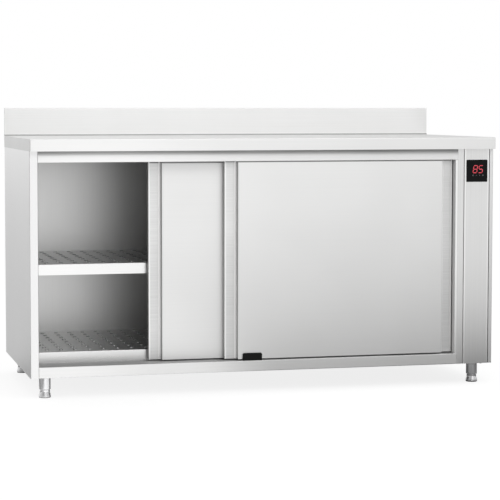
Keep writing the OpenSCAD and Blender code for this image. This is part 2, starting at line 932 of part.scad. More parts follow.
// Safety cut-out on the air box
module thermal_cutout() {
  flange_d = 24;
  flange_t = 2;
  cap_d = 16;
  cap_l = 10;
  inset = 34;
  place = duct / 2 - inset;
  color("ivory")
    translate([x_duct, fan_y + place, z_fan - place])
      rotate([0, 90, 0]) {
        cylinder(d = flange_d, h = flange_t);
        cylinder(d = cap_d, h = cap_l);
      }
}

module temperature_probe() {
  flange_d = 16;
  flange_t = 3;
  nut_t = 5;
  tip = 30;
  tail = 20;
  color("lightgray")
    translate([x_open_r, probe_y, z_probe])
      rotate([0, 90, 0]) {
        translate([0, 0, -tip]) cylinder(d = probe_d, h = tip + post_w + tail);
        translate([0, 0, -flange_t]) cylinder(d = flange_d, h = flange_t);
        translate([0, 0, post_w]) cylinder(d = flange_d, h = nut_t, $fn = 6);
      }
}

// Leg tubes with their plates under the body and the threaded plugs for the feet
module leg_sleeves() {
  tube_t = 1.5;
  plate = leg_plate / 2;
  color("lightgray")
    for (p = leg_points)
      translate([p[0], p[1], 0])
        difference() {
          union() {
            translate([0, 0, foot_h]) cylinder(d = leg_d, h = z_skin - foot_h);
            block([-plate, -plate, z_skin - leg_plate_t], [plate, plate, z_skin]);
          }
          translate([0, 0, foot_h + plug_h]) cylinder(d = leg_d - 2 * tube_t, h = z_skin - foot_h);
          translate([0, 0, foot_h - cut]) cylinder(d = screw_d + 2 * seat, h = plug_h + 2 * cut);
        }
}

// Levelling foot: a bell that flares to the ground, turned with its screw in one piece
module foot(p) {
  waist = leg_d / 2 - 2;
  neck = 3;
  flare = foot_d / 2;
  edge = 3;
  z_flare = 6;
  color("lightgray")
    translate([p[0], p[1], 0]) {
      rotate_extrude()
        polygon([
          [0, 0], [flare - edge, 0], [flare, edge], [flare, z_flare],
          [waist, foot_h - neck], [waist, foot_h - seat], [0, foot_h - seat]
        ]);
      translate([0, 0, foot_h - seat - cut]) cylinder(d = screw_d, h = foot_travel + 10);
    }
}

module front_left_foot() {
  foot(leg_points[0]);
}

module front_right_foot() {
  foot(leg_points[1]);
}

module rear_left_foot() {
  foot(leg_points[2]);
}

module rear_right_foot() {
  foot(leg_points[3]);
}

// Plan of a door, drawn in by the given distance; the grips lie behind its face on both edges
module door_plan(inset, depth) {
  translate([inset, grip_d + inset]) square([door_w - 2 * inset, depth - grip_d - inset]);
  translate([grip_w + inset, inset]) square([door_w - 2 * (grip_w + inset), depth - inset]);
}

module door_skin(x, y) {
  color("silver")
    translate([x, y, z_door])
      difference() {
        linear_extrude(door_h) door_plan(0, door_t - sheet);
        translate([0, 0, sheet]) linear_extrude(door_h - 2 * sheet) door_plan(sheet, door_t);
        for (e = [[grip_w, 1], [door_w - grip_w, -1]])
          fold_z(e[0], 0, e[1], 1, 0, door_h);
        for (e = [[0, 1], [door_w, -1]])
          fold_z(e[0], grip_d, e[1], 1, 0, door_h);
      }
}

module door_pan(x, y) {
  color("silver")
    block([x, y + door_t - sheet, z_door], [x + door_w, y + door_t, z_door_top]);
}

module door_core(x, y) {
  color("khaki")
    translate([x, y, z_door + sheet]) linear_extrude(door_h - 2 * sheet) door_plan(sheet, door_t - sheet);
}

// Centres of a door's two hangers
function hanger_xs(x) = [x + hanger_inset, x + door_w - hanger_inset];

// Angle plates on the door's top edge
module door_hangers(x, y) {
  foot_y = door_t - 5;
  half = hanger_w / 2;
  color("gray")
    for (c = hanger_xs(x)) {
      block([c - half, y + hanger_y, z_door_top], [c + half, y + foot_y, z_door_top + hanger_t]);
      block([c - half, y + hanger_y, z_door_top], [c + half, y + hanger_y + hanger_t, z_axle + roller_r]);
    }
}

// Axles with their heads behind the rollers
module door_axles(x, y) {
  head_d = axle_d + 4;
  head_t = 2;
  color("lightgray")
    for (c = hanger_xs(x))
      translate([c, y + hanger_y + hanger_t, z_axle])
        rotate([-90, 0, 0]) {
          cylinder(d = axle_d, h = roller_gap + roller_w + 2);
          translate([0, 0, roller_gap + roller_w + seat]) cylinder(d = head_d, h = head_t);
        }
}

// Grooved roller on its axle
module door_roller(x, y) {
  outer = roller_r + roller_flange;
  bore = axle_d / 2 + axle_play;
  cheek = (roller_w - groove_w) / 2;
  color("silver")
    translate([x, y + roller_y, z_axle])
      rotate([-90, 0, 0])
        difference() {
          cylinder(r = outer, h = roller_w);
          translate([0, 0, -cut]) cylinder(r = bore, h = roller_w + 2 * cut);
          translate([0, 0, cheek])
            difference() {
              cylinder(r = outer + cut, h = groove_w);
              cylinder(r = roller_r, h = groove_w);
            }
        }
}

module left_door_skin() {
  door_skin(x_left_door, y_door_rear);
}

module left_door_pan() {
  door_pan(x_left_door, y_door_rear);
}

module left_door_core() {
  door_core(x_left_door, y_door_rear);
}

module left_door_hangers() {
  door_hangers(x_left_door, y_door_rear);
}

module left_door_axles() {
  door_axles(x_left_door, y_door_rear);
}

module left_door_roller_a() {
  door_roller(hanger_xs(x_left_door)[0], y_door_rear);
}

module left_door_roller_b() {
  door_roller(hanger_xs(x_left_door)[1], y_door_rear);
}

module right_door_skin() {
  door_skin(x_right_door, y_door_front);
}

module right_door_pan() {
  door_pan(x_right_door, y_door_front);
}

module right_door_core() {
  door_core(x_right_door, y_door_front);
}

module right_door_hangers() {
  door_hangers(x_right_door, y_door_front);
}

module right_door_axles() {
  door_axles(x_right_door, y_door_front);
}

module right_door_roller_a() {
  door_roller(hanger_xs(x_right_door)[0], y_door_front);
}

module right_door_roller_b() {
  door_roller(hanger_xs(x_right_door)[1], y_door_front);
}

worktop();
worktop_braces();
left_side_skin();
left_side_liner();
left_side_insulation();
right_side_skin();
right_post();
divider_liner();
divider_insulation();
divider_panel();
back_skin();
back_liner();
back_insulation();
back_screws();
base_skin();
floor_pan();
base_insulation();
ceiling_liner();
ceiling_insulation();
top_rail();
door_track();
door_stops();
floor_guide();
base_shelf();
mid_shelf();
shelf_brackets();
service_panel();
service_panel_screws();
controller_glass();
controller_housing();
relay_board();
terminal_block();
wiring_loom();
cable_gland();
air_box();
inlet_grille();
fan_motor();
fan_impeller();
heater_element();
thermal_cutout();
temperature_probe();
leg_sleeves();
front_left_foot();
front_right_foot();
rear_left_foot();
rear_right_foot();
left_door_skin();
left_door_pan();
left_door_core();
left_door_hangers();
left_door_axles();
left_door_roller_a();
left_door_roller_b();
right_door_skin();
right_door_pan();
right_door_core();
right_door_hangers();
right_door_axles();
right_door_roller_a();
right_door_roller_b();
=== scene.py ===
"""Looks of a stainless steel hot cupboard: finishes, fine pieces, studio light and camera.

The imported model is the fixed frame. Sizes are in metres: +X to the right, +Y to the back, +Z up.
"""

import json
import logging
import math
from dataclasses import dataclass, replace
from enum import Enum

import bpy
import numpy as np
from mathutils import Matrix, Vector


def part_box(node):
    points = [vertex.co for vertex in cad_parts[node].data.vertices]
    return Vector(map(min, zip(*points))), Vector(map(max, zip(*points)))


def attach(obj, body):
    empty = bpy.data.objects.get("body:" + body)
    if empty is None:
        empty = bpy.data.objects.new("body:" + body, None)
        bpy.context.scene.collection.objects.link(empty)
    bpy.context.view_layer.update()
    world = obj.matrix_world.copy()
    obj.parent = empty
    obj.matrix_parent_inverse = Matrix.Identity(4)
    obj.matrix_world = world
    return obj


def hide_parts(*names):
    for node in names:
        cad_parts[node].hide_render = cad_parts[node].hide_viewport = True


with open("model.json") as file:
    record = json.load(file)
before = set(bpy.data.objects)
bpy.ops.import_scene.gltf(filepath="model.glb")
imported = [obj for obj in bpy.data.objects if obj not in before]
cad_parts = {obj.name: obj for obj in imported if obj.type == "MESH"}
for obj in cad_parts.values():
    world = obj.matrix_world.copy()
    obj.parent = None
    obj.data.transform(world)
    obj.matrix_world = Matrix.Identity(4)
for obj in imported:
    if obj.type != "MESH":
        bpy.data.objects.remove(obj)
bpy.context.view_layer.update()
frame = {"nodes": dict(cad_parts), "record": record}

LOG = logging.getLogger("hot_cupboard")

Tone = tuple[float, float, float]
Place = tuple[float, float, float]
Pair = tuple[float, float]
Scale = list[Pair]
Socket = bpy.types.NodeSocket


class Grain(Enum):
    """Direction in which a sheet was brushed, with the noise stretch and the vector that lies along it."""

    ACROSS = ((2.2, 420.0, 420.0), (1.0, 0.2, 0.0))
    DEEP = ((420.0, 2.2, 420.0), (0.2, 1.0, 0.0))
    UPRIGHT = ((420.0, 420.0, 2.2), (0.0, 0.0, 1.0))

    @property
    def stretch(self) -> Place:
        """Scale of the streak noise along X, Y and Z."""
        return self.value[0]

    @property
    def line(self) -> Place:
        """Vector along the brush lines."""
        return self.value[1]


def shaded(tone: Tone, share: float) -> Tone:
    """Tone made lighter or darker by a share."""
    return tuple(min(1.0, c * share) for c in tone)


class NodeTree:
    """Builder for the nodes of one material."""

    def __init__(self, name: str) -> None:
        """Starts a material with its principled shader.

        Args:
            name: Name of the material.
        """
        self.material = bpy.data.materials.new(name)
        self.material.use_nodes = True
        self.nodes = self.material.node_tree.nodes
        self.links = self.material.node_tree.links
        self.shader = self.nodes["Principled BSDF"]
        self.output = self.nodes["Material Output"]

    @classmethod
    def of(cls, tree: bpy.types.NodeTree) -> "NodeTree":
        """Builder for a tree that exists, as the world's.

        Args:
            tree: The node tree.

        Returns:
            A builder with no shader of its own.
        """
        builder = cls.__new__(cls)
        builder.nodes, builder.links = tree.nodes, tree.links
        return builder

    def plug(self, socket: Socket, value: object) -> None:
        """Links a socket to another one, or sets its own value.

        Args:
            socket: Input to feed.
            value: Output socket, number, or tuple of numbers.
        """
        if isinstance(value, Socket):
            self.links.new(value, socket)
        else:
            socket.default_value = value

    def fix(self, **values: object) -> None:
        """Feeds the shader's sockets, named with underscores for spaces.

        Args:
            **values: Socket name and its value or source.
        """
        for name, value in values.items():
            self.plug(self.shader.inputs[name.replace("_", " ")], value)

    def coords(self, stretch: Place = (1.0, 1.0, 1.0), turn: Place = (0.0, 0.0, 0.0)) -> Socket:
        """Object coordinates, scaled and turned.

        Args:
            stretch: Scale along X, Y and Z.
            turn: Turn about X, Y and Z in radians.

        Returns:
            Vector socket.
        """
        source = self.nodes.new("ShaderNodeTexCoord")
        mapping = self.nodes.new("ShaderNodeMapping")
        mapping.inputs["Scale"].default_value = stretch
        mapping.inputs["Rotation"].default_value = turn
        self.links.new(source.outputs["Object"], mapping.inputs["Vector"])
        return mapping.outputs["Vector"]

    def facing(self) -> Socket:
        """Normal of the surface, as the object has it."""
        return self.nodes.new("ShaderNodeTexCoord").outputs["Normal"]

    def split(self, vector: Socket) -> tuple[Socket, ...]:
        """Three parts of a vector.

        Args:
            vector: Vector socket.

        Returns:
            Value sockets along X, Y and Z.
        """
        parts = self.nodes.new("ShaderNodeSeparateXYZ")
        self.links.new(vector, parts.inputs[0])
        return tuple(parts.outputs)

    def noise(self, vector: Socket, scale: float = 1.0, detail: float = 3.0) -> Socket:
        """Fractal noise on a vector.

        Args:
            vector: Coordinates.
            scale: Features per unit.
            detail: Number of finer layers.

        Returns:
            Value socket, about 0.5 in the mean.
        """
        node = self.nodes.new("ShaderNodeTexNoise")
        node.inputs["Scale"].default_value = scale
        node.inputs["Detail"].default_value = detail
        self.links.new(vector, node.inputs["Vector"])
        return node.outputs[0]

    def maths(self, operation: str, *values: object) -> Socket:
        """One step of arithmetic.

        Args:
            operation: Blender's name of the operation.
            *values: Sockets or numbers.

        Returns:
            Value socket.
        """
        node = self.nodes.new("ShaderNodeMath")
        node.operation = operation
        for socket, value in zip(node.inputs, values):
            self.plug(socket, value)
        return node.outputs[0]

    def around(self, value: Socket, middle: float, swing: float) -> Socket:
        """Value from 0 to 1 laid about a middle: middle + swing * (value - 0.5)."""
        return self.maths("MULTIPLY_ADD", value, swing, middle - 0.5 * swing)

    def mix(self, share: Socket, first: Socket, second: Socket | float) -> Socket:
        """Value that goes from the first to the second: first + share * (second - first)."""
        return self.maths("ADD", first, self.maths("MULTIPLY", share, self.maths("SUBTRACT", second, first)))

    def ramp(self, value: Socket, stops: list[tuple[float, Tone]]) -> Socket:
        """Colour read off a scale.

        Args:
            value: Place on the scale.
            stops: Places and their colours, in rising order.

        Returns:
            Colour socket.
        """
        node = self.nodes.new("ShaderNodeValToRGB")
        marks = node.color_ramp.elements
        while len(marks) < len(stops):
            marks.new(0.5)
        for mark, (place, tone) in zip(marks, stops):
            mark.position = place
            mark.color = (*tone, 1.0)
        self.links.new(value, node.inputs[0])
        return node.outputs[0]

    def tint(self, value: Socket, tone: Tone, *stops: Pair) -> Socket:
        """Tone made darker or lighter along a value; each stop is a place and the tone's share there."""
        return self.ramp(value, [(place, shaded(tone, share)) for place, share in stops])

    def greys(self, value: Socket, stops: Scale) -> Socket:
        """Grey from 0 to 2 read off a scale with soft steps.

        Args:
            value: Place on the scale.
            stops: Places and their greys, in rising order.

        Returns:
            Value socket.
        """
        tones = self.ramp(value, [(place, (grey / 2.0,) * 3) for place, grey in stops])
        tones.node.color_ramp.interpolation = "EASE"
        return self.maths("MULTIPLY", tones, 2.0)

    def step(self, value: Socket, low: float, high: float) -> Socket:
        """Soft step from 0 at low to 1 at high.

        Args:
            value: Socket to read.
            low: Place where the step starts.
            high: Place where it ends.

        Returns:
            Value socket.
        """
        node = self.nodes.new("ShaderNodeMapRange")
        node.interpolation_type = "SMOOTHSTEP"
        node.inputs["From Min"].default_value = low
        node.inputs["From Max"].default_value = high
        self.links.new(value, node.inputs["Value"])
        return node.outputs[0]

    def rays(self) -> tuple[Socket, Socket, Socket]:
        """Tells rays apart by where they come from.

        Returns:
            Value sockets that are 1 for rays from gloss or glass, from the camera, and from matt surfaces.
        """
        path = self.nodes.new("ShaderNodeLightPath")
        camera = path.outputs["Is Camera Ray"]
        gloss = self.maths("MAXIMUM", path.outputs["Is Glossy Ray"], path.outputs["Is Transmission Ray"])
        return gloss, camera, self.maths("SUBTRACT", 1.0, self.maths("MAXIMUM", gloss, camera))

    def bump(self, height: Socket, strength: float, depth: float) -> Socket:
        """Fine relief.

        Args:
            height: Height from 0 to 1.
            strength: Share of the effect.
            depth: Depth in metres.

        Returns:
            Normal socket.
        """
        node = self.nodes.new("ShaderNodeBump")
        node.inputs["Strength"].default_value = strength
        node.inputs["Distance"].default_value = depth
        self.links.new(height, node.inputs["Height"])
        return node.outputs[0]

    def lie(self, line: Place) -> Socket:
        """Direction in the surface square to the brush lines: the unit vector of normal x line.

        Args:
            line: Vector along the brush lines.

        Returns:
            Vector socket for the shader's tangent.
        """
        geometry = self.nodes.new("ShaderNodeNewGeometry")
        cross = self.nodes.new("ShaderNodeVectorMath")
        cross.operation = "CROSS_PRODUCT"
        cross.inputs[1].default_value = line
        unit = self.nodes.new("ShaderNodeVectorMath")
        unit.operation = "NORMALIZE"
        self.links.new(geometry.outputs["Normal"], cross.inputs[0])
        self.links.new(cross.outputs[0], unit.inputs[0])
        return unit.outputs[0]


@dataclass(frozen=True)
class GrainAndPaintedLight:
    """How far streaks, painted shade and painted highlights along folds move brushed steel along its scale of
    tones, and its roughness.

    Attributes:
        cloud_scale: Clouds per metre.
        shine: Way up the tone scale that each of the two noises gives in the mean.
        gain: Swing on the tone scale for each unit of streak or cloud.
        rough_swing: Swing of the roughness with the streaks.
        band_rough: Roughness gained in a band of painted shade.
        shade_drop: Way down the tone scale in a band of painted shade and on faces with painted shade that
            look sideways.
        matt_rough: Roughness gained on matt returns.
        matt_loss: Metallic share lost on matt returns.
        highlight_lift: Way up the tone scale along a fold's painted highlight.
        sideways: Part of the normal along X where a return starts and is full.
        facing: Least part of the normal along Y on a face that looks to the back or the front.
        recess_fade: Depth over which the painted shade of a recess grows.
        fold_fade: Ways from a fold, in its half widths, where the painted highlight starts and is full.
        middle: Place on the tone scale of the plain sheet, and its share of the tone.
        darkest: Place on the tone scale of the darkest sheet, under the deepest painted shade.
    """

    cloud_scale: float = 3.4
    shine: float = 0.25
    gain: float = 5.0
    rough_swing: float = 0.10
    band_rough: float = 0.22
    shade_drop: float = 0.45
    matt_rough: float = 0.25
    matt_loss: float = 0.85
    highlight_lift: float = 0.75
    sideways: Pair = (0.80, 0.95)
    facing: float = 0.5
    recess_fade: float = 0.003
    fold_fade: Pair = (1.5, 0.7)
    middle: Pair = (0.42, 0.97)
    darkest: float = 0.05


@dataclass(frozen=True)
class BrushedSteel:
    """Sheet brushed in one direction, with faint streaks and clouds.

    Attributes:
        anisotropy: Share by which gloss is drawn out by the lines.
        shade_band: Heights between which the sheet gets a band of painted shade and more roughness, if any.
        shade_rise: Height over which each edge of the band of painted shade fades.
        shade_share: Share of the tone where the painted shade is deepest.
        matt_returns: Whether the faces that look sideways are matt.
        shaded_returns: Share of painted shade on the faces that look sideways.
        recess: Place along Y behind which the sheet gets a little painted shade, if any.
        recess_shade: Way down the tone scale behind it, for that painted shade.
        folds: Places along X of the folds that get a painted highlight.
        fold_half: Half width of a fold's painted highlight.
        glint: Share of the tone where the sheet is brightest: its brightest streaks, and the painted
            highlights along folds.
        streak: Strength of the streaks.
        cloud: Strength of the clouds.
        streaks_and_shading: Values that all brushed sheets share.
    """

    name: str
    tone: Tone
    roughness: float
    grain: Grain
    anisotropy: float = 0.8
    shade_band: Pair | None = None
    shade_rise: float = 0.0006
    shade_share: float = 0.55
    matt_returns: bool = False
    shaded_returns: float = 0.0
    recess: float | None = None
    recess_shade: float = 0.125
    folds: tuple[float, ...] = ()
    fold_half: float = 0.003
    glint: float = 1.09
    streak: float = 0.07
    cloud: float = 0.05
    streaks_and_shading: GrainAndPaintedLight = GrainAndPaintedLight()

    def material(self) -> bpy.types.Material:
        """Streak noise along the grain drives tone, roughness and relief.

        Returns:
            The material, with the painted shade and painted highlights that the fields ask for.
        """
        streaks_and_shading = self.streaks_and_shading
        tree = NodeTree(self.name)
        lines = tree.noise(tree.coords(self.grain.stretch), detail=4.0)
        clouds = tree.noise(tree.coords(), scale=streaks_and_shading.cloud_scale, detail=2.0)
        shine = tree.maths(
            "ADD",
            tree.around(lines, streaks_and_shading.shine, swing=self.streak * streaks_and_shading.gain),
            tree.around(clouds, streaks_and_shading.shine, swing=self.cloud * streaks_and_shading.gain),
        )
        roughness = tree.around(lines, self.roughness, swing=streaks_and_shading.rough_swing)
        metallic: Socket | float = 1.0
        # Band of painted shade between two heights: darker tone, and more roughness.
        if self.shade_band:
            band_shade = self.band_shade(tree)
            roughness = tree.maths("MULTIPLY_ADD", band_shade, streaks_and_shading.band_rough, roughness)
            shine = tree.maths("MULTIPLY_ADD", band_shade, -streaks_and_shading.shade_drop, shine)
        if self.matt_returns:
            turned = self.turned(tree)
            roughness = tree.maths("MULTIPLY_ADD", turned, streaks_and_shading.matt_rough, roughness)
            metallic = tree.maths("MULTIPLY_ADD", turned, -streaks_and_shading.matt_loss, 1.0)
        # Painted shade on faces that look sideways.
        if self.shaded_returns:
            shine = tree.maths("MULTIPLY_ADD", self.turned(tree), -streaks_and_shading.shade_drop * self.shaded_returns, shine)
        # Painted shade on the sheet behind the recess place.
        if self.recess is not None:
            _, depth, _ = tree.split(tree.coords())
            sunk = tree.step(depth, self.recess, self.recess + streaks_and_shading.recess_fade)
            shine = tree.maths("MULTIPLY_ADD", sunk, -self.recess_shade, shine)
        # Painted highlights along the folds.
        if self.folds:
            shine = tree.maths("MULTIPLY_ADD", self.fold_highlight(tree), streaks_and_shading.highlight_lift, shine)
        tree.fix(
            Base_Color=tree.tint(
                shine, self.tone, (streaks_and_shading.darkest, self.shade_share), streaks_and_shading.middle, (1.0, self.glint)
            ),
            Metallic=metallic,
            Roughness=roughness,
            Anisotropic=self.anisotropy,
            Tangent=tree.lie(self.grain.line),
            Normal=tree.bump(lines, strength=0.05, depth=0.0002),
        )
        return tree.material

    def band_shade(self, tree: NodeTree) -> Socket:
        """Share of painted shade: 1 between the two heights, on faces that don't look to the back.

        Args:
            tree: Builder of the material.

        Returns:
            Value socket.
        """
        _, _, height = tree.split(tree.coords())
        low, high = (tree.step(height, edge, edge + self.shade_rise) for edge in self.shade_band)
        _, backward, _ = tree.split(tree.facing())
        open_to_view = tree.maths("LESS_THAN", backward, self.streaks_and_shading.facing)
        return tree.maths("MULTIPLY", tree.maths("SUBTRACT", low, high), open_to_view)

    def turned(self, tree: NodeTree) -> Socket:
        """Share by which a face looks sideways."""
        sideways, _, _ = tree.split(tree.facing())
        return tree.step(tree.maths("ABSOLUTE", sideways), *self.streaks_and_shading.sideways)

    def fold_highlight(self, tree: NodeTree) -> Socket:
        """Share of the painted highlight: 1 close to the nearest fold, on faces that look to the front.

        Args:
            tree: Builder of the material.

        Returns:
            Value socket.
        """
        across, _, _ = tree.split(tree.coords())
        ways = [tree.maths("ABSOLUTE", tree.maths("SUBTRACT", across, fold)) for fold in self.folds]
        nearest = ways[0]
        for way in ways[1:]:
            nearest = tree.maths("MINIMUM", nearest, way)
        start, full = (share * self.fold_half for share in self.streaks_and_shading.fold_fade)
        _, backward, _ = tree.split(tree.facing())
        in_front = tree.maths("LESS_THAN", backward, -self.streaks_and_shading.facing)
        return tree.maths("MULTIPLY", tree.step(nearest, start, full), in_front)


@dataclass(frozen=True)
class TurnedSteel:
    """Polished round steel with faint rings from the lathe."""

    name: str
    tone: Tone
    roughness: float
    axis_scale: Place = (6.0, 6.0, 900.0)
    metallic: float = 1.0

    def material(self) -> bpy.types.Material:
        """Noise drawn out round the axis drives roughness and relief.

        Returns:
            The material.
        """
        tree = NodeTree(self.name)
        rings = tree.noise(tree.coords(self.axis_scale))
        tree.fix(
            Base_Color=tree.tint(rings, self.tone, (0.2, 0.92), (0.8, 1.04)),
            Metallic=self.metallic,
            Roughness=tree.around(rings, self.roughness, swing=0.06),
            Normal=tree.bump(rings, strength=0.04, depth=0.0001),
        )
        return tree.material


@dataclass(frozen=True)
class DullMetal:
    """Bare or painted metal with fine clouded tone."""

    name: str
    tone: Tone
    roughness: float
    metallic: float
    grain_scale: float = 260.0

    def material(self) -> bpy.types.Material:
        """Two noises, broad and fine, set the tone and the relief.

        Returns:
            The material.
        """
        tree = NodeTree(self.name)
        broad = tree.noise(tree.coords(), scale=18.0)
        fine = tree.noise(tree.coords(), scale=self.grain_scale, detail=2.0)
        tree.fix(
            Base_Color=tree.tint(broad, self.tone, (0.25, 0.82), (0.75, 1.10)),
            Metallic=self.metallic,
            Roughness=tree.around(fine, self.roughness, swing=0.12),
            Normal=tree.bump(fine, strength=0.08, depth=0.0002),
        )
        return tree.material


@dataclass(frozen=True)
class Moulded:
    """Moulded plastic or rubber with a fine eroded skin."""

    name: str
    tone: Tone
    roughness: float
    relief: float = 0.15
    gloss: float = 0.5

    def material(self) -> bpy.types.Material:
        """Fine noise is the skin's relief, broad noise its handling marks.

        Returns:
            The material.
        """
        tree = NodeTree(self.name)
        skin = tree.noise(tree.coords(), scale=900.0, detail=2.0)
        marks = tree.noise(tree.coords(), scale=30.0)
        tree.fix(
            Base_Color=tree.tint(marks, self.tone, (0.3, 0.85), (0.75, 1.2)),
            Roughness=tree.around(marks, self.roughness, swing=0.12),
            Specular_IOR_Level=self.gloss,
            Normal=tree.bump(skin, strength=self.relief, depth=0.0002),
        )
        return tree.material


@dataclass(frozen=True)
class MineralWool:
    """Board of pressed fibres."""

    name: str
    tone: Tone

    def material(self) -> bpy.types.Material:
        """Noise stretched two ways reads as crossed fibres.

        Returns:
            The material.
        """
        tree = NodeTree(self.name)
        one = tree.noise(tree.coords((40.0, 500.0, 500.0)))
        two = tree.noise(tree.coords((500.0, 500.0, 40.0)))
        fibres = tree.maths("MAXIMUM", one, two)
        tree.fix(
            Base_Color=tree.tint(fibres, self.tone, (0.4, 0.7), (0.7, 1.15)),
            Roughness=tree.around(fibres, 0.92, swing=0.1),
            Normal=tree.bump(fibres, strength=0.5, depth=0.001),
        )
        return tree.material


@dataclass(frozen=True)
class BlackGlass:
    """Back-painted touch glass with faint wiping marks."""

    name: str
    tone: Tone

    def material(self) -> bpy.types.Material:
        """Upright wiping noise changes the gloss a little.

        Returns:
            The material.
        """
        tree = NodeTree(self.name)
        wipes = tree.noise(tree.coords((160.0, 160.0, 14.0)))
        tree.fix(
            Base_Color=tree.tint(wipes, self.tone, (0.3, 0.7), (0.8, 1.6)),
            Roughness=tree.around(wipes, 0.07, swing=0.08),
            Specular_IOR_Level=0.12,
        )
        return tree.material


@dataclass(frozen=True)
class CircuitBoard:
    """Coated board with the pattern of its copper tracks."""

    name: str
    tone: Tone

    def material(self) -> bpy.types.Material:
        """Rows of long bricks stand for the tracks under the coating.

        Returns:
            The material.
        """
        tree = NodeTree(self.name)
        bricks = tree.nodes.new("ShaderNodeTexBrick")
        bricks.inputs["Scale"].default_value = 60.0
        bricks.inputs["Mortar Size"].default_value = 0.03
        for place, share in (("Color1", 1.0), ("Color2", 0.75), ("Mortar", 1.7)):
            bricks.inputs[place].default_value = (*shaded(self.tone, share), 1.0)
        tree.links.new(tree.coords(turn=(0.0, math.pi / 2, 0.0)), bricks.inputs["Vector"])
        skin = tree.noise(tree.coords(), scale=500.0, detail=2.0)
        tree.fix(
            Base_Color=bricks.outputs["Color"],
            Roughness=tree.around(skin, 0.42, swing=0.1),
            Normal=tree.bump(skin, strength=0.1, depth=0.0002),
        )
        return tree.material


@dataclass(frozen=True)
class LitSegment:
    """Light bars of the display, a little uneven as behind a diffuser."""

    name: str
    dim: Tone
    bright: Tone
    strength: float

    def material(self) -> bpy.types.Material:
        """Noise at the size of a bar moves the glow between its two tones.

        Returns:
            The material.
        """
        tree = NodeTree(self.name)
        uneven = tree.noise(tree.coords(), scale=260.0, detail=1.0)
        glow = tree.ramp(uneven, [(0.3, self.dim), (0.7, self.bright)])
        tree.fix(Base_Color=glow, Roughness=0.4, Emission_Color=glow, Emission_Strength=self.strength)
        return tree.material


Finish = (
    BrushedSteel | TurnedSteel | DullMetal | Moulded | MineralWool | BlackGlass | CircuitBoard | LitSegment
)


def circle(count: int) -> np.ndarray:
    """Angles in radians of points spread evenly round a circle."""
    return np.linspace(0.0, 2.0 * math.pi, count, endpoint=False)


def smoothstep(low: float, high: float, value: np.ndarray) -> np.ndarray:
    """Soft step from 0 at low to 1 at high: t * t * (3 - 2 t)."""
    t = np.clip((value - low) / (high - low), 0.0, 1.0)
    return t * t * (3.0 - 2.0 * t)


def ring_quads(starts: int, rings: int, columns: int) -> np.ndarray:
    """Quads between each ring and the next: quad (i, j) has points j and j + 1 of rings i and i + 1, wrapped.

    Args:
        starts: Number of rings that a row of quads starts from.
        rings: Number of rings after which their count starts again.
        columns: Points on a ring.

    Returns:
        Array of quad, corner.
    """
    i, j = np.meshgrid(np.arange(starts), np.arange(columns), indexing="ij")
    n, k = (i + 1) % rings, (j + 1) % columns
    corners = [i * columns + j, n * columns + j, n * columns + k, i * columns + k]
    return np.stack(corners, -1).reshape(-1, 4)


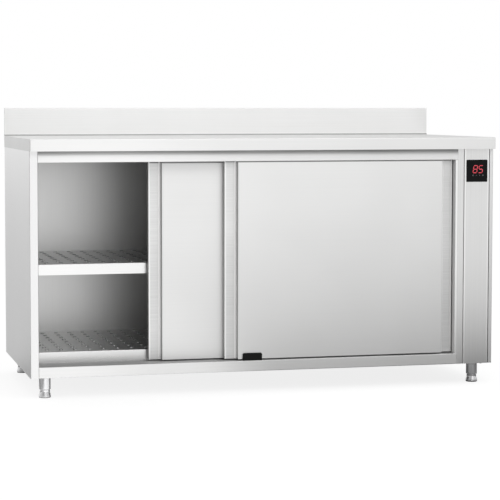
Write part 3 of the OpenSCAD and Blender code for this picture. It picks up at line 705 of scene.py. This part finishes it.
@dataclass
class Shell:
    """Closed skin: points, and arrays of quads and triangles that point outwards."""

    points: np.ndarray
    quads: np.ndarray
    triangles: np.ndarray

    @classmethod
    def from_rings(cls, rings: np.ndarray) -> "Shell":
        """Skin over rings of points, closed round each ring and by a fan over each end.

        The fans meet in the mean point of the first and of the last ring.

        Args:
            rings: Array of ring, point, coordinate.

        Returns:
            The closed skin.
        """
        rows, columns, _ = rings.shape
        j = np.arange(columns)
        k = (j + 1) % columns
        first, last, top = rows * columns, rows * columns + 1, (rows - 1) * columns
        low_fan = np.stack([np.full(columns, first), j, k], -1)
        high_fan = np.stack([np.full(columns, last), top + k, top + j], -1)
        points = np.vstack([rings.reshape(-1, 3), rings[0].mean(0), rings[-1].mean(0)])
        return cls(points, ring_quads(rows - 1, rows, columns), np.vstack([low_fan, high_fan])).outwards()

    @classmethod
    def from_loop(cls, rings: np.ndarray) -> "Shell":
        """Skin over rings that follow a closed path, as on a torus.

        Args:
            rings: Array of ring, point, coordinate; the last ring joins the first.

        Returns:
            The closed skin.
        """
        rows, columns, _ = rings.shape
        no_fans = np.zeros((0, 3), int)
        return cls(rings.reshape(-1, 3), ring_quads(rows, rows, columns), no_fans).outwards()

    @classmethod
    def joined(cls, shells: list["Shell"]) -> "Shell":
        """Several skins as one piece.

        Args:
            shells: The skins.

        Returns:
            One skin with all their faces.
        """
        starts = np.cumsum([0] + [len(s.points) for s in shells[:-1]])
        return cls(
            np.vstack([s.points for s in shells]),
            np.vstack([s.quads + n for s, n in zip(shells, starts)]),
            np.vstack([s.triangles + n for s, n in zip(shells, starts)]),
        )

    def repeated(self, places: np.ndarray) -> "Shell":
        """The same skin at many places.

        Args:
            places: Array of place, coordinate, added to the points.

        Returns:
            One skin with all copies.
        """
        points = (places[:, None, :] + self.points[None, :, :]).reshape(-1, 3)
        starts = (np.arange(len(places)) * len(self.points))[:, None, None]
        quads = (self.quads[None] + starts).reshape(-1, 4)
        return Shell(points, quads, (self.triangles[None] + starts).reshape(-1, 3))

    def volume(self) -> float:
        """Volume enclosed: a sixth of the sum of a . (b x c) over the triangles of all faces.

        Returns:
            Cubic metres, negative if the faces point inwards.
        """
        corners = np.vstack([self.quads[:, [0, 1, 2]], self.quads[:, [0, 2, 3]], self.triangles])
        a, b, c = (self.points[corners[:, n]] - self.points.mean(0) for n in range(3))
        return float(np.einsum("ij,ij->i", a, np.cross(b, c)).sum() / 6.0)

    def outwards(self) -> "Shell":
        """The same skin, with all faces turned over if its volume comes out negative."""
        return self if self.volume() > 0 else Shell(self.points, self.quads[:, ::-1], self.triangles[:, ::-1])

    def piece(
        self, name: str, finish: Finish, body: str, slot: str, smooth_to: float = 40.0
    ) -> bpy.types.Object:
        """Makes the object, rides it on its body and gives it its finish.

        Args:
            name: Name of the piece.
            finish: Its finish.
            body: CAD body that it moves with.
            slot: Material slot of the record; not used.
            smooth_to: Edges sharper than this angle in degrees stay sharp.

        Returns:
            The finished object.
        """
        mesh = bpy.data.meshes.new(name)
        mesh.from_pydata(self.points.tolist(), [], self.quads.tolist() + self.triangles.tolist())
        mesh.polygons.foreach_set("use_smooth", np.ones(len(mesh.polygons), bool))
        mesh.set_sharp_from_angle(angle=math.radians(smooth_to))
        mesh.materials.append(finish.material())
        mesh.update()
        thing = bpy.data.objects.new(name, mesh)
        bpy.context.scene.collection.objects.link(thing)
        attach(thing, body)
        LOG.info("%s: %d faces, rides on %s", name, len(mesh.polygons), body)
        return thing


@dataclass
class LevellingFoot:
    """Turned foot that flares to the ground, with its threaded stem and a black ring round its base."""

    node: str
    finish: Finish
    base_ring_finish: Finish
    slot: str = "leg_chrome"
    base_ring_slot: str = "stop_rubber"
    sides: int = 64
    pitch: float = 0.00175
    thread_depth: float = 0.0009
    thread_steps: float = 8.0
    stem_r: float = 0.006
    tip_r: float = 0.0042
    tip_h: float = 0.0012
    bell_base: float = 0.0006
    bell_top: float = 0.0277
    bell_rings: int = 72
    waist: float = 0.0166
    flare: float = 0.0200
    flare_span: Pair = (0.006, 0.023)
    flare_power: float = 1.4
    base_round: float = 0.0034
    groove: float = 0.0012
    groove_z: float = 0.0064
    groove_half: float = 0.0007
    shoulder: float = 0.0012
    shoulder_h: float = 0.0022
    base_ring_r: float = 0.0194
    base_ring_h: float = 0.0030
    base_ring_rings: int = 13

    def bell(self, height: np.ndarray) -> np.ndarray:
        """Radius of the bell at each height.

        It is the waist, plus a flare that fades upwards, less the rounded base edge, the groove
        w exp(-((z - z0) / h)^2) above it and the soft shoulder at the top.

        Args:
            height: Heights from the ground in metres.

        Returns:
            Radii in metres.
        """
        spread = (self.flare - self.waist) * (1.0 - smoothstep(*self.flare_span, height)) ** self.flare_power
        down = 1.0 - np.clip(height / self.base_round, 0.0, 1.0)
        edge = self.base_round * (1.0 - np.sqrt(1.0 - down**2))
        cut = self.groove * np.exp(-(((height - self.groove_z) / self.groove_half) ** 2))
        shoulder = self.shoulder * smoothstep(self.bell_top - self.shoulder_h, self.bell_top, height)
        return self.waist + spread - edge - cut - shoulder

    def shell(self) -> Shell:
        """Rings up the foot.

        On the stem the radius also turns with the angle: r - depth * |2 f - 1| with
        f = frac(z / pitch - angle / 2 pi).

        Returns:
            The closed skin, in place.
        """
        _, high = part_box(self.node)
        bell_z = np.linspace(self.bell_base, self.bell_top, self.bell_rings)
        stem_z = np.arange(self.bell_top, high.z - self.tip_h, self.pitch / self.thread_steps)
        bell_r = np.repeat(self.bell(bell_z)[:, None], self.sides, 1)
        phase = np.mod(stem_z[:, None] / self.pitch - circle(self.sides) / (2.0 * math.pi), 1.0)
        stem_r = self.stem_r - self.thread_depth * np.abs(2.0 * phase - 1.0)
        tip_r = np.full((1, self.sides), self.tip_r)
        return self.turned(np.vstack([bell_r, stem_r, tip_r]), np.concatenate([bell_z, stem_z, [high.z]]))

    def base_ring(self) -> Shell:
        """Black ring round the base of the bell: radius r - b + b sqrt(1 - s^2) with s from -1 to 1 over its
        height.

        Returns:
            The closed skin, in place.
        """
        rise = np.linspace(-1.0, 1.0, self.base_ring_rings)
        bulge = self.base_ring_h / 2.0
        radius = self.base_ring_r - bulge + bulge * np.sqrt(1.0 - rise**2)
        return self.turned(np.repeat(radius[:, None], self.sides, 1), bulge * (1.0 + rise))

    def turned(self, radius: np.ndarray, height: np.ndarray) -> Shell:
        """Rings about the foot's axis: x = r cos t, y = r sin t.

        Args:
            radius: Array of ring, point.
            height: Height of each ring.

        Returns:
            The closed skin, in place.
        """
        low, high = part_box(self.node)
        turns = circle(self.sides)
        x = (low.x + high.x) / 2.0 + radius * np.cos(turns)
        y = (low.y + high.y) / 2.0 + radius * np.sin(turns)
        return Shell.from_rings(np.stack([x, y, height[:, None] + np.zeros_like(radius)], -1))

    def build(self) -> None:
        """Makes the foot, which stands for the CAD node, and the black ring that rides with it."""
        foot = self.shell().piece(self.node + "_turned", self.finish, self.node, self.slot)
        self.base_ring().piece(self.node + "_glide", self.base_ring_finish, self.node, self.base_ring_slot)
        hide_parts(self.node)


@dataclass
class PerforatedShelf:
    """Pressed rims round the rows of holes in a shelf."""

    node: str
    finish: Finish
    body: str = "cabinet"
    slot: str = "shelf_steel"
    pitch: Pair = (0.048, 0.064)
    rim_r: float = 0.0062
    rim_half: float = 0.0014
    rim_rise: float = 0.0018
    rim_points: int = 12
    bead_points: int = 4
    smooth_to: float = 180.0
    slack: float = 1e-6

    def centres(self) -> np.ndarray:
        """Middles of the holes: whole pitches, laid out from the middle of the shelf.

        Returns:
            Array of hole, coordinate, at the height of the shelf's top.
        """
        low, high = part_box(self.node)
        lines = []
        for a, b, step in ((low.x, high.x, self.pitch[0]), (low.y, high.y, self.pitch[1])):
            count = math.floor((b - a - step) / step + self.slack)
            lines.append((a + b) / 2.0 + (np.arange(count + 1) - count / 2.0) * step)
        x, y = np.meshgrid(*lines, indexing="ij")
        return np.stack([x.ravel(), y.ravel(), np.full(x.size, high.z)], -1)

    def shell(self) -> Shell:
        """Elliptic bead carried round each hole: radius r + a cos v, height b sin v.

        Returns:
            One skin with all rims.
        """
        way = circle(self.rim_points)[:, None]
        turn = circle(self.bead_points)[None, :]
        out = self.rim_r + self.rim_half * np.cos(turn)
        bead = [out * np.cos(way), out * np.sin(way), self.rim_rise * np.sin(turn) + 0.0 * way]
        return Shell.from_loop(np.stack(bead, -1)).repeated(self.centres())

    def build(self) -> None:
        """Makes the rims of all holes as one piece."""
        self.shell().piece(self.node + "_hole_rims", self.finish, self.body, self.slot, self.smooth_to)


@dataclass
class TouchDisplay:
    """Light bars of the temperature and the four touch marks on the control glass.

    The bars of a digit are lettered a to f clockwise from its top, with g across the middle.
    """

    number: str
    bars: dict[str, str]
    lit: Finish
    dim: Finish
    glass: str = "controller_glass"
    body: str = "cabinet"
    slot: str = "touch_glass"
    digit_w: float = 0.0138
    digit_h: float = 0.0246
    digit_gap: float = 0.0060
    corner_gap: float = 0.0007
    bar_w: float = 0.0025
    bar_rings: int = 15
    bar_sides: int = 12
    bar_tip: float = 1e-5
    rise: float = 0.00016
    slant: float = 0.16
    middle: Pair = (0.0036, 0.0055)
    marks_below: float = 0.0155
    marks_span: Pair = (-0.0145, 0.0215)
    mark_r: float = 0.0019
    mark_line: float = 0.0008
    mark_tall: float = 1.4
    ring_points: int = 40
    ring_sides: int = 8

    def face(self) -> Place:
        """Middle of the glass's front face."""
        low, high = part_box(self.glass)
        return (low.x + high.x) / 2.0, low.y, (low.z + high.z) / 2.0

    def bar(self, start: np.ndarray, end: np.ndarray, width: float) -> Shell:
        """Bar with pointed ends: elliptic rings along a line.

        The half width is the lesser of half the full width and the way to the nearer end.

        Args:
            start: First end on the glass, as x and z.
            end: Second end.
            width: Full width.

        Returns:
            The closed skin.
        """
        _, face_y, _ = self.face()
        along = np.linspace(0.0, 1.0, self.bar_rings)
        length = float(np.hypot(*(end - start)))
        half = np.minimum(width / 2.0, np.minimum(along, 1.0 - along) * length + self.bar_tip)
        way = (end - start) / length
        side = np.array([-way[1], way[0]])
        turn = circle(self.bar_sides)
        centre = start[None, :] + along[:, None] * (end - start)[None, :]
        flat = centre[:, None, :] + (half[:, None] * np.cos(turn))[..., None] * side
        lift = self.rise * np.sqrt(half / half.max())[:, None] * np.sin(turn)
        return Shell.from_rings(np.stack([flat[..., 0], face_y - lift, flat[..., 1]], -1))

    def ring(self, centre: np.ndarray) -> Shell:
        """Flat ring of a touch mark: elliptic rings along a circle.

        Args:
            centre: Middle on the glass, as x and z.

        Returns:
            The closed skin.
        """
        _, face_y, _ = self.face()
        way = circle(self.ring_points)[:, None]
        turn = circle(self.ring_sides)[None, :]
        out = self.mark_r + self.mark_line / 2.0 * np.cos(turn)
        x = centre[0] + out * np.cos(way)
        z = centre[1] + out * np.sin(way)
        y = face_y - self.rise * np.sin(turn) + 0.0 * way
        return Shell.from_loop(np.stack([x, y, z], -1))

    def digits(self) -> Shell:
        """Bars of all digits, laid out on a slanted frame of two cells each.

        Returns:
            One skin with all lit bars.
        """
        mid_x, _, mid_z = self.face()
        w, h, g = self.digit_w / 2.0, self.digit_h / 2.0, self.corner_gap
        ends = {
            "a": ((-w + g, h), (w - g, h)),
            "b": ((w, h - g), (w, g)),
            "c": ((w, -g), (w, -h + g)),
            "d": ((-w + g, -h), (w - g, -h)),
            "e": ((-w, -g), (-w, -h + g)),
            "f": ((-w, h - g), (-w, g)),
            "g": ((-w + g, 0.0), (w - g, 0.0)),
        }
        pitch = self.digit_w + self.digit_gap
        shells = []
        for place, letter in enumerate(self.number):
            centre_x = mid_x + self.middle[0] + (place - (len(self.number) - 1) / 2.0) * pitch
            centre = (centre_x, mid_z + self.middle[1])
            for name in self.bars[letter]:
                points = np.array(ends[name])
                points[:, 0] += self.slant * points[:, 1]
                start, end = points + centre
                shells.append(self.bar(start, end, self.bar_w))
        return Shell.joined(shells)

    def marks(self) -> Shell:
        """Row of four touch marks: a ring, a bar, a cross and a ring with a bar.

        Returns:
            One skin with all marks.
        """
        mid_x, _, mid_z = self.face()
        z = mid_z - self.marks_below
        first, second, third, fourth = (np.array([mid_x + x, z]) for x in np.linspace(*self.marks_span, 4))
        level = np.array([self.mark_r, 0.0])
        upright = np.array([0.0, self.mark_r])
        return Shell.joined([
            self.ring(first),
            self.bar(second - level, second + level, self.mark_line),
            self.bar(third - level, third + level, self.mark_line),
            self.bar(third - upright, third + upright, self.mark_line),
            self.ring(fourth),
            self.bar(fourth, fourth + self.mark_tall * upright, self.mark_line),
        ])

    def build(self) -> None:
        """Makes the digits and the marks."""
        self.digits().piece("display_digits", self.lit, self.body, self.slot)
        self.marks().piece("display_marks", self.dim, self.body, self.slot)


@dataclass
class Metalwork:
    """Finishes of the CAD nodes, by the record's material slots and with some nodes of their own."""

    by_slot: dict[str, Finish]
    by_node: dict[str, Finish]

    def dress(self) -> None:
        """Gives each CAD node its material, one material for each finish."""
        made: dict[str, bpy.types.Material] = {}
        slots = {part["node"]: part["material_slot"] for part in frame["record"]["subparts"]}
        for node, thing in frame["nodes"].items():
            finish = self.by_node.get(node) or self.by_slot[slots[node]]
            if finish.name not in made:
                made[finish.name] = finish.material()
            for place in thing.material_slots:
                place.material = made[finish.name]
            LOG.info("%s: %s", node, finish.name)


@dataclass
class Lamp:
    """Rectangular soft lamp that looks at a point."""

    name: str
    place: Place
    target: Place
    size: Pair
    power: float

    def build(self) -> None:
        """Makes the lamp."""
        light = bpy.data.lights.new(self.name, "AREA")
        light.shape = "RECTANGLE"
        light.size, light.size_y = self.size
        light.energy = self.power
        thing = bpy.data.objects.new(self.name, light)
        thing.location = self.place
        way = Vector(self.target) - thing.location
        thing.rotation_euler = way.to_track_quat("-Z", "Y").to_euler()
        bpy.context.scene.collection.objects.link(thing)


@dataclass
class Studio:
    """White room with a pale floor and soft lamps; gloss sees room and floor as fixed scales of grey.

    Attributes:
        surround: Compass directions in degrees from the front, to the right, and the room's greys there.
        near_floor: Places along X and the floor's greys there, close to the object.
        far_floor: The same, far in front of it.
        floor_tone: Tone of the floor to matt surfaces and the camera.
        floor_glow: Its own light to the camera.
        floor_bounce: Its own light to matt surfaces.
        floor_scale: Share of the scale of greys for each metre along X.
        even_light: Light of the room to matt surfaces.
        lift: Share by which the room's greys change towards the top.
        under: Share of the floor's light under the object and beside its left end.
        behind: Grey of the floor behind the object.
        far_span: Ways in front of the object's middle where the far scale starts and is full.
        side_edge: Ways to the side of the middle where the dim part under the object ends.
        front_edge: Ways to the front and the back of it where that part ends.
        behind_span: Places along Y where the grey behind starts and is full.
        left_start: Ways to the left of the middle where the dim part beside the left end starts.
        left_end: Ways to the left where it ends.
        left_front: Ways to the front where it starts and is full.
    """

    lamps: list[Lamp]
    surround: Scale
    near_floor: Scale
    far_floor: Scale
    floor_half: float = 30.0
    floor_z: float = -0.0004
    floor_tone: float = 0.25
    floor_glow: float = 0.83
    floor_bounce: float = 0.35
    floor_scale: float = 0.1
    even_light: float = 0.7
    lift: float = -0.20
    under: float = 0.12
    behind: float = 0.55
    far_span: Pair = (0.45, 2.8)
    side_edge: Pair = (0.72, 0.86)
    front_edge: Pair = (0.26, 0.38)
    behind_span: Pair = (-0.35, 0.25)
    left_start: Pair = (0.80, 0.94)
    left_end: Pair = (1.10, 1.50)
    left_front: Pair = (-0.75, -0.30)

    def build(self) -> None:
        """Makes surround, floor and lamps."""
        self.build_surround()
        self.build_floor()
        for lamp in self.lamps:
            lamp.build()

    def build_surround(self) -> None:
        """World that is white to the camera, even to matt surfaces, and to gloss a scale of greys.

        The scale is read by compass direction, at atan2(x, -y) / 2 pi + 0.5: the middle is the front, the
        right comes after it. It changes by the lift towards the top.
        """
        world = bpy.data.worlds.new("white_room")
        bpy.context.scene.world = world
        world.use_nodes = True
        tree = NodeTree.of(world.node_tree)
        x, y, z = tree.split(tree.nodes.new("ShaderNodeTexCoord").outputs["Generated"])
        bearing = tree.maths("ARCTAN2", x, tree.maths("MULTIPLY", y, -1.0))
        compass = tree.maths("MULTIPLY_ADD", bearing, 0.5 / math.pi, 0.5)
        greys = tree.greys(compass, [(degrees / 360.0 + 0.5, grey) for degrees, grey in self.surround])
        raised = tree.maths("MULTIPLY_ADD", tree.maths("MAXIMUM", z, 0.0), self.lift, 1.0)
        gloss, camera, matt = tree.rays()
        seen = tree.maths("MULTIPLY", tree.maths("MULTIPLY", greys, raised), gloss)
        even = tree.maths("MULTIPLY", matt, self.even_light)
        back = tree.nodes["Background"]
        back.inputs["Color"].default_value = (1.0, 1.0, 1.0, 1.0)
        tree.links.new(tree.maths("ADD", tree.maths("ADD", seen, even), camera), back.inputs["Strength"])

    def build_floor(self) -> None:
        """Flat floor, white to the camera apart from the shadow, and clear from below."""
        h = self.floor_half
        mesh = bpy.data.meshes.new("floor")
        corners = np.array([(-h, -h), (h, -h), (h, h), (-h, h)])
        mesh.from_pydata(np.c_[corners, np.full(4, self.floor_z)].tolist(), [], [(0, 1, 2, 3)])
        mesh.materials.append(self.floor_material())
        thing = bpy.data.objects.new("floor", mesh)
        bpy.context.scene.collection.objects.link(thing)

    def floor_material(self) -> bpy.types.Material:
        """Floor with light of its own, which differs for the camera, for gloss and for matt surfaces.

        Returns:
            The material.
        """
        tree = NodeTree("floor_white")
        x, y, _ = tree.split(tree.coords())
        gloss, camera, matt = tree.rays()
        seen = tree.maths("MULTIPLY", gloss, self.floor_greys(tree, x, y))
        bounced = tree.maths("MULTIPLY", matt, self.floor_bounce)
        glow = tree.maths(
            "ADD",
            tree.maths("MULTIPLY", camera, self.floor_glow),
            tree.maths("MULTIPLY", self.floor_shade(tree, x, y), tree.maths("ADD", seen, bounced)),
        )
        tone = tree.maths("MULTIPLY", tree.maths("SUBTRACT", 1.0, gloss), self.floor_tone)
        tree.fix(Base_Color=tone, Roughness=1.0, Specular_IOR_Level=0.0)
        tree.fix(Emission_Color=(1.0, 1.0, 1.0, 1.0), Emission_Strength=glow)
        below = tree.nodes.new("ShaderNodeBsdfTransparent")
        sides = tree.nodes.new("ShaderNodeMixShader")
        geometry = tree.nodes.new("ShaderNodeNewGeometry")
        tree.links.new(geometry.outputs["Backfacing"], sides.inputs[0])
        tree.links.new(tree.shader.outputs[0], sides.inputs[1])
        tree.links.new(below.outputs[0], sides.inputs[2])
        tree.links.new(sides.outputs[0], tree.output.inputs["Surface"])
        return tree.material

    def floor_greys(self, tree: NodeTree, x: Socket, y: Socket) -> Socket:
        """Grey of the floor to gloss: the near scale, the far scale to the front, one grey to the back.

        Args:
            tree: Builder of the material.
            x: Place along X.
            y: Place along Y.

        Returns:
            Value socket.
        """
        along = tree.maths("MULTIPLY_ADD", x, self.floor_scale, 0.5)
        near, far = (
            tree.greys(along, [(place * self.floor_scale + 0.5, grey) for place, grey in scale])
            for scale in (self.near_floor, self.far_floor)
        )
        away = tree.step(tree.maths("MULTIPLY", y, -1.0), *self.far_span)
        return tree.mix(tree.step(y, *self.behind_span), tree.mix(away, near, far), self.behind)

    def floor_shade(self, tree: NodeTree, x: Socket, y: Socket) -> Socket:
        """Share of the floor's light: low under the object and beside its left end, else 1.

        Args:
            tree: Builder of the material.
            x: Place along X.
            y: Place along Y.

        Returns:
            Value socket.
        """
        beside = tree.step(tree.maths("ABSOLUTE", x), *self.side_edge)
        before = tree.step(tree.maths("ABSOLUTE", y), *self.front_edge)
        clear = tree.maths("MAXIMUM", beside, before)
        shade = tree.maths("MULTIPLY_ADD", clear, 1.0 - self.under, self.under)
        left, front = (tree.maths("MULTIPLY", part, -1.0) for part in (x, y))
        strip = tree.maths("SUBTRACT", tree.step(left, *self.left_start), tree.step(left, *self.left_end))
        outside = tree.maths("MULTIPLY", strip, tree.step(front, *self.left_front))
        return tree.maths("MULTIPLY", shade, tree.maths("MULTIPLY_ADD", outside, self.under - 1.0, 1.0))


@dataclass
class PhotoCamera:
    """Camera at the photograph's place, for a square image of 500 pixels."""

    place: Place
    yaw: float
    pitch: float
    focal_pixels: float
    principal: Pair
    image: float = 500.0
    sensor: float = 36.0

    def build(self) -> None:
        """Makes the camera and hands it to the scene."""
        lens = bpy.data.cameras.new("photo_camera")
        lens.sensor_width = self.sensor
        lens.lens = self.focal_pixels * self.sensor / self.image
        lens.shift_x = (self.image / 2.0 - self.principal[0]) / self.image
        lens.shift_y = -(self.image / 2.0 - self.principal[1]) / self.image
        thing = bpy.data.objects.new("photo_camera", lens)
        thing.location = self.place
        thing.rotation_euler = (math.radians(90.0 + self.pitch), 0.0, math.radians(-self.yaw))
        bpy.context.scene.collection.objects.link(thing)
        bpy.context.scene.camera = thing


@dataclass
class SheetShading:
    """Bands of painted shade and folds with painted highlights on the outer sheets.

    Attributes:
        above: Height above the whole object, where a band that has no upper edge ends.
        upstand_h: Height of the upstand above the work surface.
        cove: Heights above the work surface between which the foot of the upstand gets a line of painted
            shade.
        pan_edge: Way below the floor pan's highest point where the painted shade on its top starts.
        rail_band: Height of the band of painted shade at the top of the top rail, the shadow of the worktop's
            overhang.
        panel_fold: Way of the service panel's folds with painted highlights from its edges.
        panel_fold_half: Half width of those folds.
        post_fold: Way of the right post's fold with a painted highlight from its edge.
        shadow_drop: Way of the painted shadow line on the doors below the top rail.
        shadow_slope: Further drop for each metre that a door stands behind the rail's face.
        grip_w: Width of a finger grip.
        grip_fold: Way of a grip's fold with a painted highlight from its inner edge.
        door_fold: Way of the fold with a painted highlight at a door's edge.
        grip_floor: Depth behind a door's face where the bottom of its grips starts, and with it their painted
            shade.
    """

    above: float = 1.0
    upstand_h: float = 0.100
    cove: Pair = (0.0003, 0.0050)
    pan_edge: float = 0.0009
    rail_band: float = 0.022
    panel_fold: float = 0.0025
    panel_fold_half: float = 0.0022
    post_fold: float = 0.0035
    shadow_drop: float = 0.0032
    shadow_slope: float = 0.06
    grip_w: float = 0.042
    grip_fold: float = 0.0045
    door_fold: float = 0.002
    grip_floor: float = 0.012

    def worktop(self, tone: Tone) -> BrushedSteel:
        """Finish of the worktop, with a line of painted shade at the foot of its upstand and painted shade on
        its ends.

        Args:
            tone: Colour of the plain sheet.

        Returns:
            The finish.
        """
        _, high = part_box("worktop")
        low_edge, high_edge = (high.z - self.upstand_h + rise for rise in self.cove)
        return BrushedSteel(
            "worktop_brushed",
            tone,
            0.37,
            Grain.ACROSS,
            anisotropy=0.75,
            # Painted shade: a line at the foot of the upstand, and on the worktop's ends.
            shade_band=(low_edge, high_edge),
            shade_share=0.62,
            shaded_returns=0.8,
        )

    def front(self, tone: Tone, door: BrushedSteel) -> dict[str, BrushedSteel]:
        """Finishes of the front's sheets, placed by their boxes.

        Args:
            tone: Colour of the plain floor pan.
            door: Finish of the doors without their painted shade, painted highlights and finer streaks.

        Returns:
            Node and finish.
        """
        rail_low, rail_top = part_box("top_rail")
        post_low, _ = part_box("right_post")
        panel_low, panel_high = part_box("service_panel")
        _, pan_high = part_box("floor_pan")
        # Painted shade on the top of the floor pan, the chamber's floor, with more roughness.
        pan_shade = (pan_high.z - self.pan_edge, self.above)
        pan = BrushedSteel("floor_brushed", tone, 0.41, Grain.ACROSS, shade_band=pan_shade)
        column = BrushedSteel(
            "column_brushed",
            (0.80, 0.80, 0.795),
            0.42,
            Grain.UPRIGHT,
            anisotropy=0.5,
            # Painted highlights along the folds at the service panel's two edges.
            folds=(panel_low.x + self.panel_fold, panel_high.x - self.panel_fold),
            fold_half=self.panel_fold_half,
            glint=1.2,
        )
        post = replace(
            column,
            name="post_brushed",
            matt_returns=True,
            # Painted highlight along the fold at the post's inner edge.
            folds=(post_low.x + self.post_fold,),
            fold_half=BrushedSteel.fold_half,
            glint=1.24,
        )
        rail = BrushedSteel(
            "rail_brushed",
            (0.93, 0.93, 0.925),
            0.50,
            Grain.ACROSS,
            # Band of painted shade at the top of the rail, where the worktop's overhang shades it.
            shade_band=(rail_top.z - self.rail_band, self.above),
            shade_rise=self.rail_band,
        )
        by_node = {"service_panel": column, "right_post": post, "top_rail": rail, "floor_pan": pan}
        for node in ("left_door_skin", "right_door_skin"):
            low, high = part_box(node)
            # Painted shadow line of the top rail across the top of each door.
            shadow_start = rail_low.z - self.shadow_drop - self.shadow_slope * (low.y - rail_low.y)
            grip = self.grip_w - self.grip_fold
            # Painted shade on the grips' side walls and sunk bottoms; painted highlights along the folds at
            # the door's edges and grips.
            by_node[node] = replace(
                door,
                name=node.replace("skin", "brushed"),
                shade_band=(shadow_start, self.above),
                shade_share=0.42,
                shaded_returns=1.0,
                recess=low.y + self.grip_floor,
                folds=(low.x + self.door_fold, low.x + grip, high.x - grip, high.x - self.door_fold),
                glint=1.16,
                streak=0.03,
            )
        return by_node


def metalwork() -> Metalwork:
    """Finish of each material slot, and of the nodes whose brush lines run another way or that carry painted
    shade and painted highlights.

    Returns:
        The book of finishes.
    """
    bright: Tone = (0.82, 0.82, 0.815)
    roller_rings: Place = (900.0, 60.0, 900.0)
    streaks_and_shading = SheetShading()
    door = BrushedSteel("door_brushed", (0.86, 0.86, 0.855), 0.48, Grain.ACROSS, anisotropy=0.35)
    by_slot = {
        "worktop_steel": streaks_and_shading.worktop(bright),
        "body_steel": BrushedSteel("side_brushed", (0.80, 0.80, 0.80), 0.36, Grain.DEEP),
        "liner_steel": BrushedSteel("liner_mill", (0.74, 0.74, 0.735), 0.37, Grain.UPRIGHT, anisotropy=0.45),
        "hidden_steel": BrushedSteel("plain_sheet", (0.72, 0.72, 0.715), 0.44, Grain.ACROSS, anisotropy=0.5),
        "shelf_steel": BrushedSteel("shelf_brushed", bright, 0.29, Grain.ACROSS, anisotropy=0.5),
        "insulation": MineralWool("mineral_wool", (0.72, 0.64, 0.42)),
        "door_steel": door,
        "track_steel": DullMetal("track_rolled", (0.55, 0.55, 0.56), 0.40, metallic=1.0),
        "screw_steel": TurnedSteel("screw_bright", (0.70, 0.70, 0.72), 0.25),
        "stop_rubber": Moulded("stop_rubber", (0.045, 0.045, 0.045), 0.75),
        "black_plastic": Moulded("black_plastic", (0.005, 0.005, 0.005), 0.60, gloss=0.2),
        "touch_glass": BlackGlass("touch_glass", (0.003, 0.0035, 0.0035)),
        "board_green": CircuitBoard("board_green", (0.05, 0.22, 0.10)),
        "white_plastic": Moulded("white_plastic", (0.80, 0.79, 0.75), 0.40, relief=0.08),
        "fan_aluminium": DullMetal("fan_aluminium", (0.75, 0.75, 0.76), 0.38, metallic=1.0),
        "motor_metal": DullMetal("motor_paint", (0.16, 0.16, 0.17), 0.50, metallic=0.0),
        "heater_steel": DullMetal("heater_dulled", (0.40, 0.37, 0.34), 0.50, metallic=1.0, grain_scale=400.0),
        "leg_chrome": TurnedSteel("leg_polished", (0.90, 0.90, 0.91), 0.24, metallic=0.7),
        "roller_steel": TurnedSteel("roller_turned", (0.66, 0.66, 0.67), 0.28, axis_scale=roller_rings),
    }
    return Metalwork(by_slot, streaks_and_shading.front(bright, door))


def main() -> None:
    """Builds camera, room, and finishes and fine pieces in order."""
    logging.basicConfig(level=logging.INFO, format="%(name)s: %(message)s")
    bpy.context.scene.view_settings.view_transform = "Standard"
    PhotoCamera(
        place=(-1.5563, -6.0895, 0.9492),
        yaw=13.569,
        pitch=-3.735,
        focal_pixels=1789.0,
        principal=(220.0, 225.0),
    ).build()
    Studio(
        lamps=[
            Lamp("front_softbox", (0.95, -2.6, 2.9), target=(0.75, -0.3, 0.5), size=(3.4, 1.6), power=23.0),
            Lamp("overhead_softbox", (0.2, 0.3, 3.1), target=(0.2, 0.1, 0.8), size=(3.0, 1.6), power=7.0),
        ],
        surround=[
            (-180.0, 0.95), (-165.0, 1.40), (-140.0, 0.90), (-90.0, 0.66), (-45.0, 0.36),
            (-22.0, 0.34), (-3.0, 1.06), (7.0, 1.06), (13.0, 0.92), (23.0, 0.92),
            (42.0, 0.62), (90.0, 0.66), (150.0, 0.85), (180.0, 0.95),
        ],
        near_floor=[(-1.6, 0.90), (-0.75, 1.36), (-0.2, 1.00), (0.1, 0.15), (1.0, 0.0), (2.0, 0.0)],
        far_floor=[(-1.5, 0.92), (-0.5, 1.56), (0.2, 1.44), (1.1, 1.24), (2.9, 1.12), (4.8, 0.95)],
    ).build()
    metalwork().dress()
    foot = TurnedSteel("foot_polished", (0.90, 0.90, 0.91), 0.18, metallic=0.8)
    # Black ring round the base of each foot.
    base_ring = Moulded("base_ring_black", (0.012, 0.012, 0.012), 0.55, gloss=0.3)
    for node in ("front_left_foot", "front_right_foot", "rear_left_foot", "rear_right_foot"):
        LevellingFoot(node, foot, base_ring).build()
    rims = TurnedSteel("rim_bright", (0.86, 0.86, 0.86), 0.24)
    for node in ("base_shelf", "mid_shelf"):
        PerforatedShelf(node, rims).build()
    TouchDisplay(
        number="85",
        bars={"5": "acdfg", "8": "abcdefg"},
        lit=LitSegment("digit_red", (0.62, 0.03, 0.05), (0.90, 0.12, 0.16), strength=0.32),
        dim=LitSegment("mark_grey", (0.10, 0.10, 0.11), (0.22, 0.22, 0.23), strength=0.5),
    ).build()


if __name__ == "__main__":
    main()
